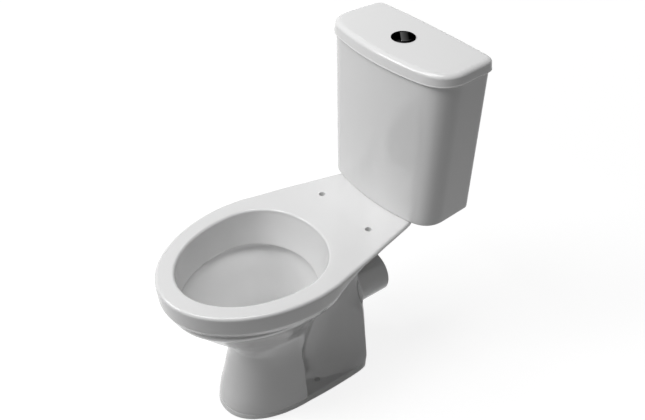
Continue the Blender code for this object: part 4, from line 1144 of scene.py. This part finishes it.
def floor_material():
    """A floor that throws little light back at the object, and is seen as white paper that keeps
    the object's soft shadow and grows to pure white far from it."""
    paper = bpy.data.materials.new("white_floor")
    paper.use_nodes = True
    tree = paper.node_tree
    plain = tree.nodes["Principled BSDF"]
    plain.inputs["Base Color"].default_value = even_shade(floor_bounce)
    plain.inputs["Roughness"].default_value = floor_roughness
    shaded = add_node(tree, "BsdfDiffuse", Color=even_shade(floor_shade))
    glow = add_node(tree, "Emission")
    place = add_node(tree, "TexCoord")
    distance = add_node(tree, "VectorMath", "LENGTH")
    join(place, "Object", distance, 0)
    brightness = add_node(tree, "MapRange", From_Min=floor_glow_near, From_Max=floor_glow_far,
                          To_Min=floor_glow, To_Max=1.0)
    join(distance, "Value", brightness, "Value")
    join(brightness, "Result", glow, "Strength")
    both = add_node(tree, "AddShader")
    join(shaded, "BSDF", both, 0)
    join(glow, "Emission", both, 1)
    mix = add_node(tree, "MixShader")
    join(seen_directly(tree), "Value", mix, "Fac")
    join(plain, "BSDF", mix, 1)
    join(both, "Shader", mix, 2)
    join(mix, "Shader", tree.nodes["Material Output"], "Surface")
    return paper


def surround_world(strength):
    """Even light of the given strength, seen as plain white."""
    world = bpy.data.worlds.new("surround")
    world.use_nodes = True
    tree = world.node_tree
    background = tree.nodes["Background"]
    background.inputs["Color"].default_value = even_shade(1.0)
    level = add_node(tree, "MapRange", To_Min=strength, To_Max=1.0)
    join(seen_directly(tree), "Value", level, "Value")
    join(level, "Result", background, "Strength")
    return world


class TOILET_OT_stage(bpy.types.Operator):
    """Build the floor, the surround, the lights and the camera"""

    bl_idname = "toilet.stage"
    bl_label = "Stage"

    def execute(self, context):
        settings = context.scene.toilet_stage
        scene = context.scene
        mesh = bpy.data.meshes.new("floor")
        corners = [(x * floor_reach, y * floor_reach, 0.0)
                   for x, y in ((-1, -1), (1, -1), (1, 1), (-1, 1))]
        mesh.from_pydata(corners, [], [(0, 1, 2, 3)])
        floor = new_object("floor", mesh)
        floor.location.z = -floor_drop
        mesh.materials.append(floor_material())
        scene.world = surround_world(settings.fill_strength)
        area_light("key", key_place, settings.key_power)
        area_light("front", front_place, settings.front_power)
        area_light("top", top_place, settings.top_power)
        lens = bpy.data.cameras.new("camera")
        lens.lens = camera_lens
        lens.sensor_width = camera_sensor
        lens.shift_x = camera_shift
        camera = new_object("camera", lens)
        camera.location = camera_place
        camera.rotation_euler = camera_turn
        scene.camera = camera
        scene.view_settings.view_transform = "Standard"
        return {"FINISHED"}


class TOILET_PT_panel(bpy.types.Panel):
    """Lists the toilet's pieces and settings"""

    bl_idname = "TOILET_PT_panel"
    bl_label = "Toilet"
    bl_space_type = "VIEW_3D"
    bl_region_type = "UI"
    bl_category = "Toilet"

    def draw(self, context):
        layout = self.layout
        for group in ("toilet_china", "toilet_fittings", "toilet_stage"):
            settings = getattr(context.scene, group)
            for name in settings.__annotations__:
                layout.prop(settings, name)
        for operator in operators:
            layout.operator(operator.bl_idname)


operators = (TOILET_OT_pan, TOILET_OT_cistern, TOILET_OT_lid, TOILET_OT_button,
             TOILET_OT_fittings, TOILET_OT_stage)
classes = (ChinaSettings, FittingSettings, StageSettings, *operators, TOILET_PT_panel)


def register():
    """Register the classes and hang the settings on the scene."""
    for item in classes:
        bpy.utils.register_class(item)
    bpy.types.Scene.toilet_china = bpy.props.PointerProperty(type=ChinaSettings)
    bpy.types.Scene.toilet_fittings = bpy.props.PointerProperty(type=FittingSettings)
    bpy.types.Scene.toilet_stage = bpy.props.PointerProperty(type=StageSettings)


def unregister():
    """Undo what register did."""
    del bpy.types.Scene.toilet_stage
    del bpy.types.Scene.toilet_fittings
    del bpy.types.Scene.toilet_china
    for item in reversed(classes):
        bpy.utils.unregister_class(item)


def main():
    """Build the whole scene."""
    register()
    bpy.ops.toilet.pan()
    bpy.ops.toilet.cistern()
    bpy.ops.toilet.lid()
    bpy.ops.toilet.button()
    bpy.ops.toilet.fittings()
    bpy.ops.toilet.stage()


if __name__ == "__main__":
    main()
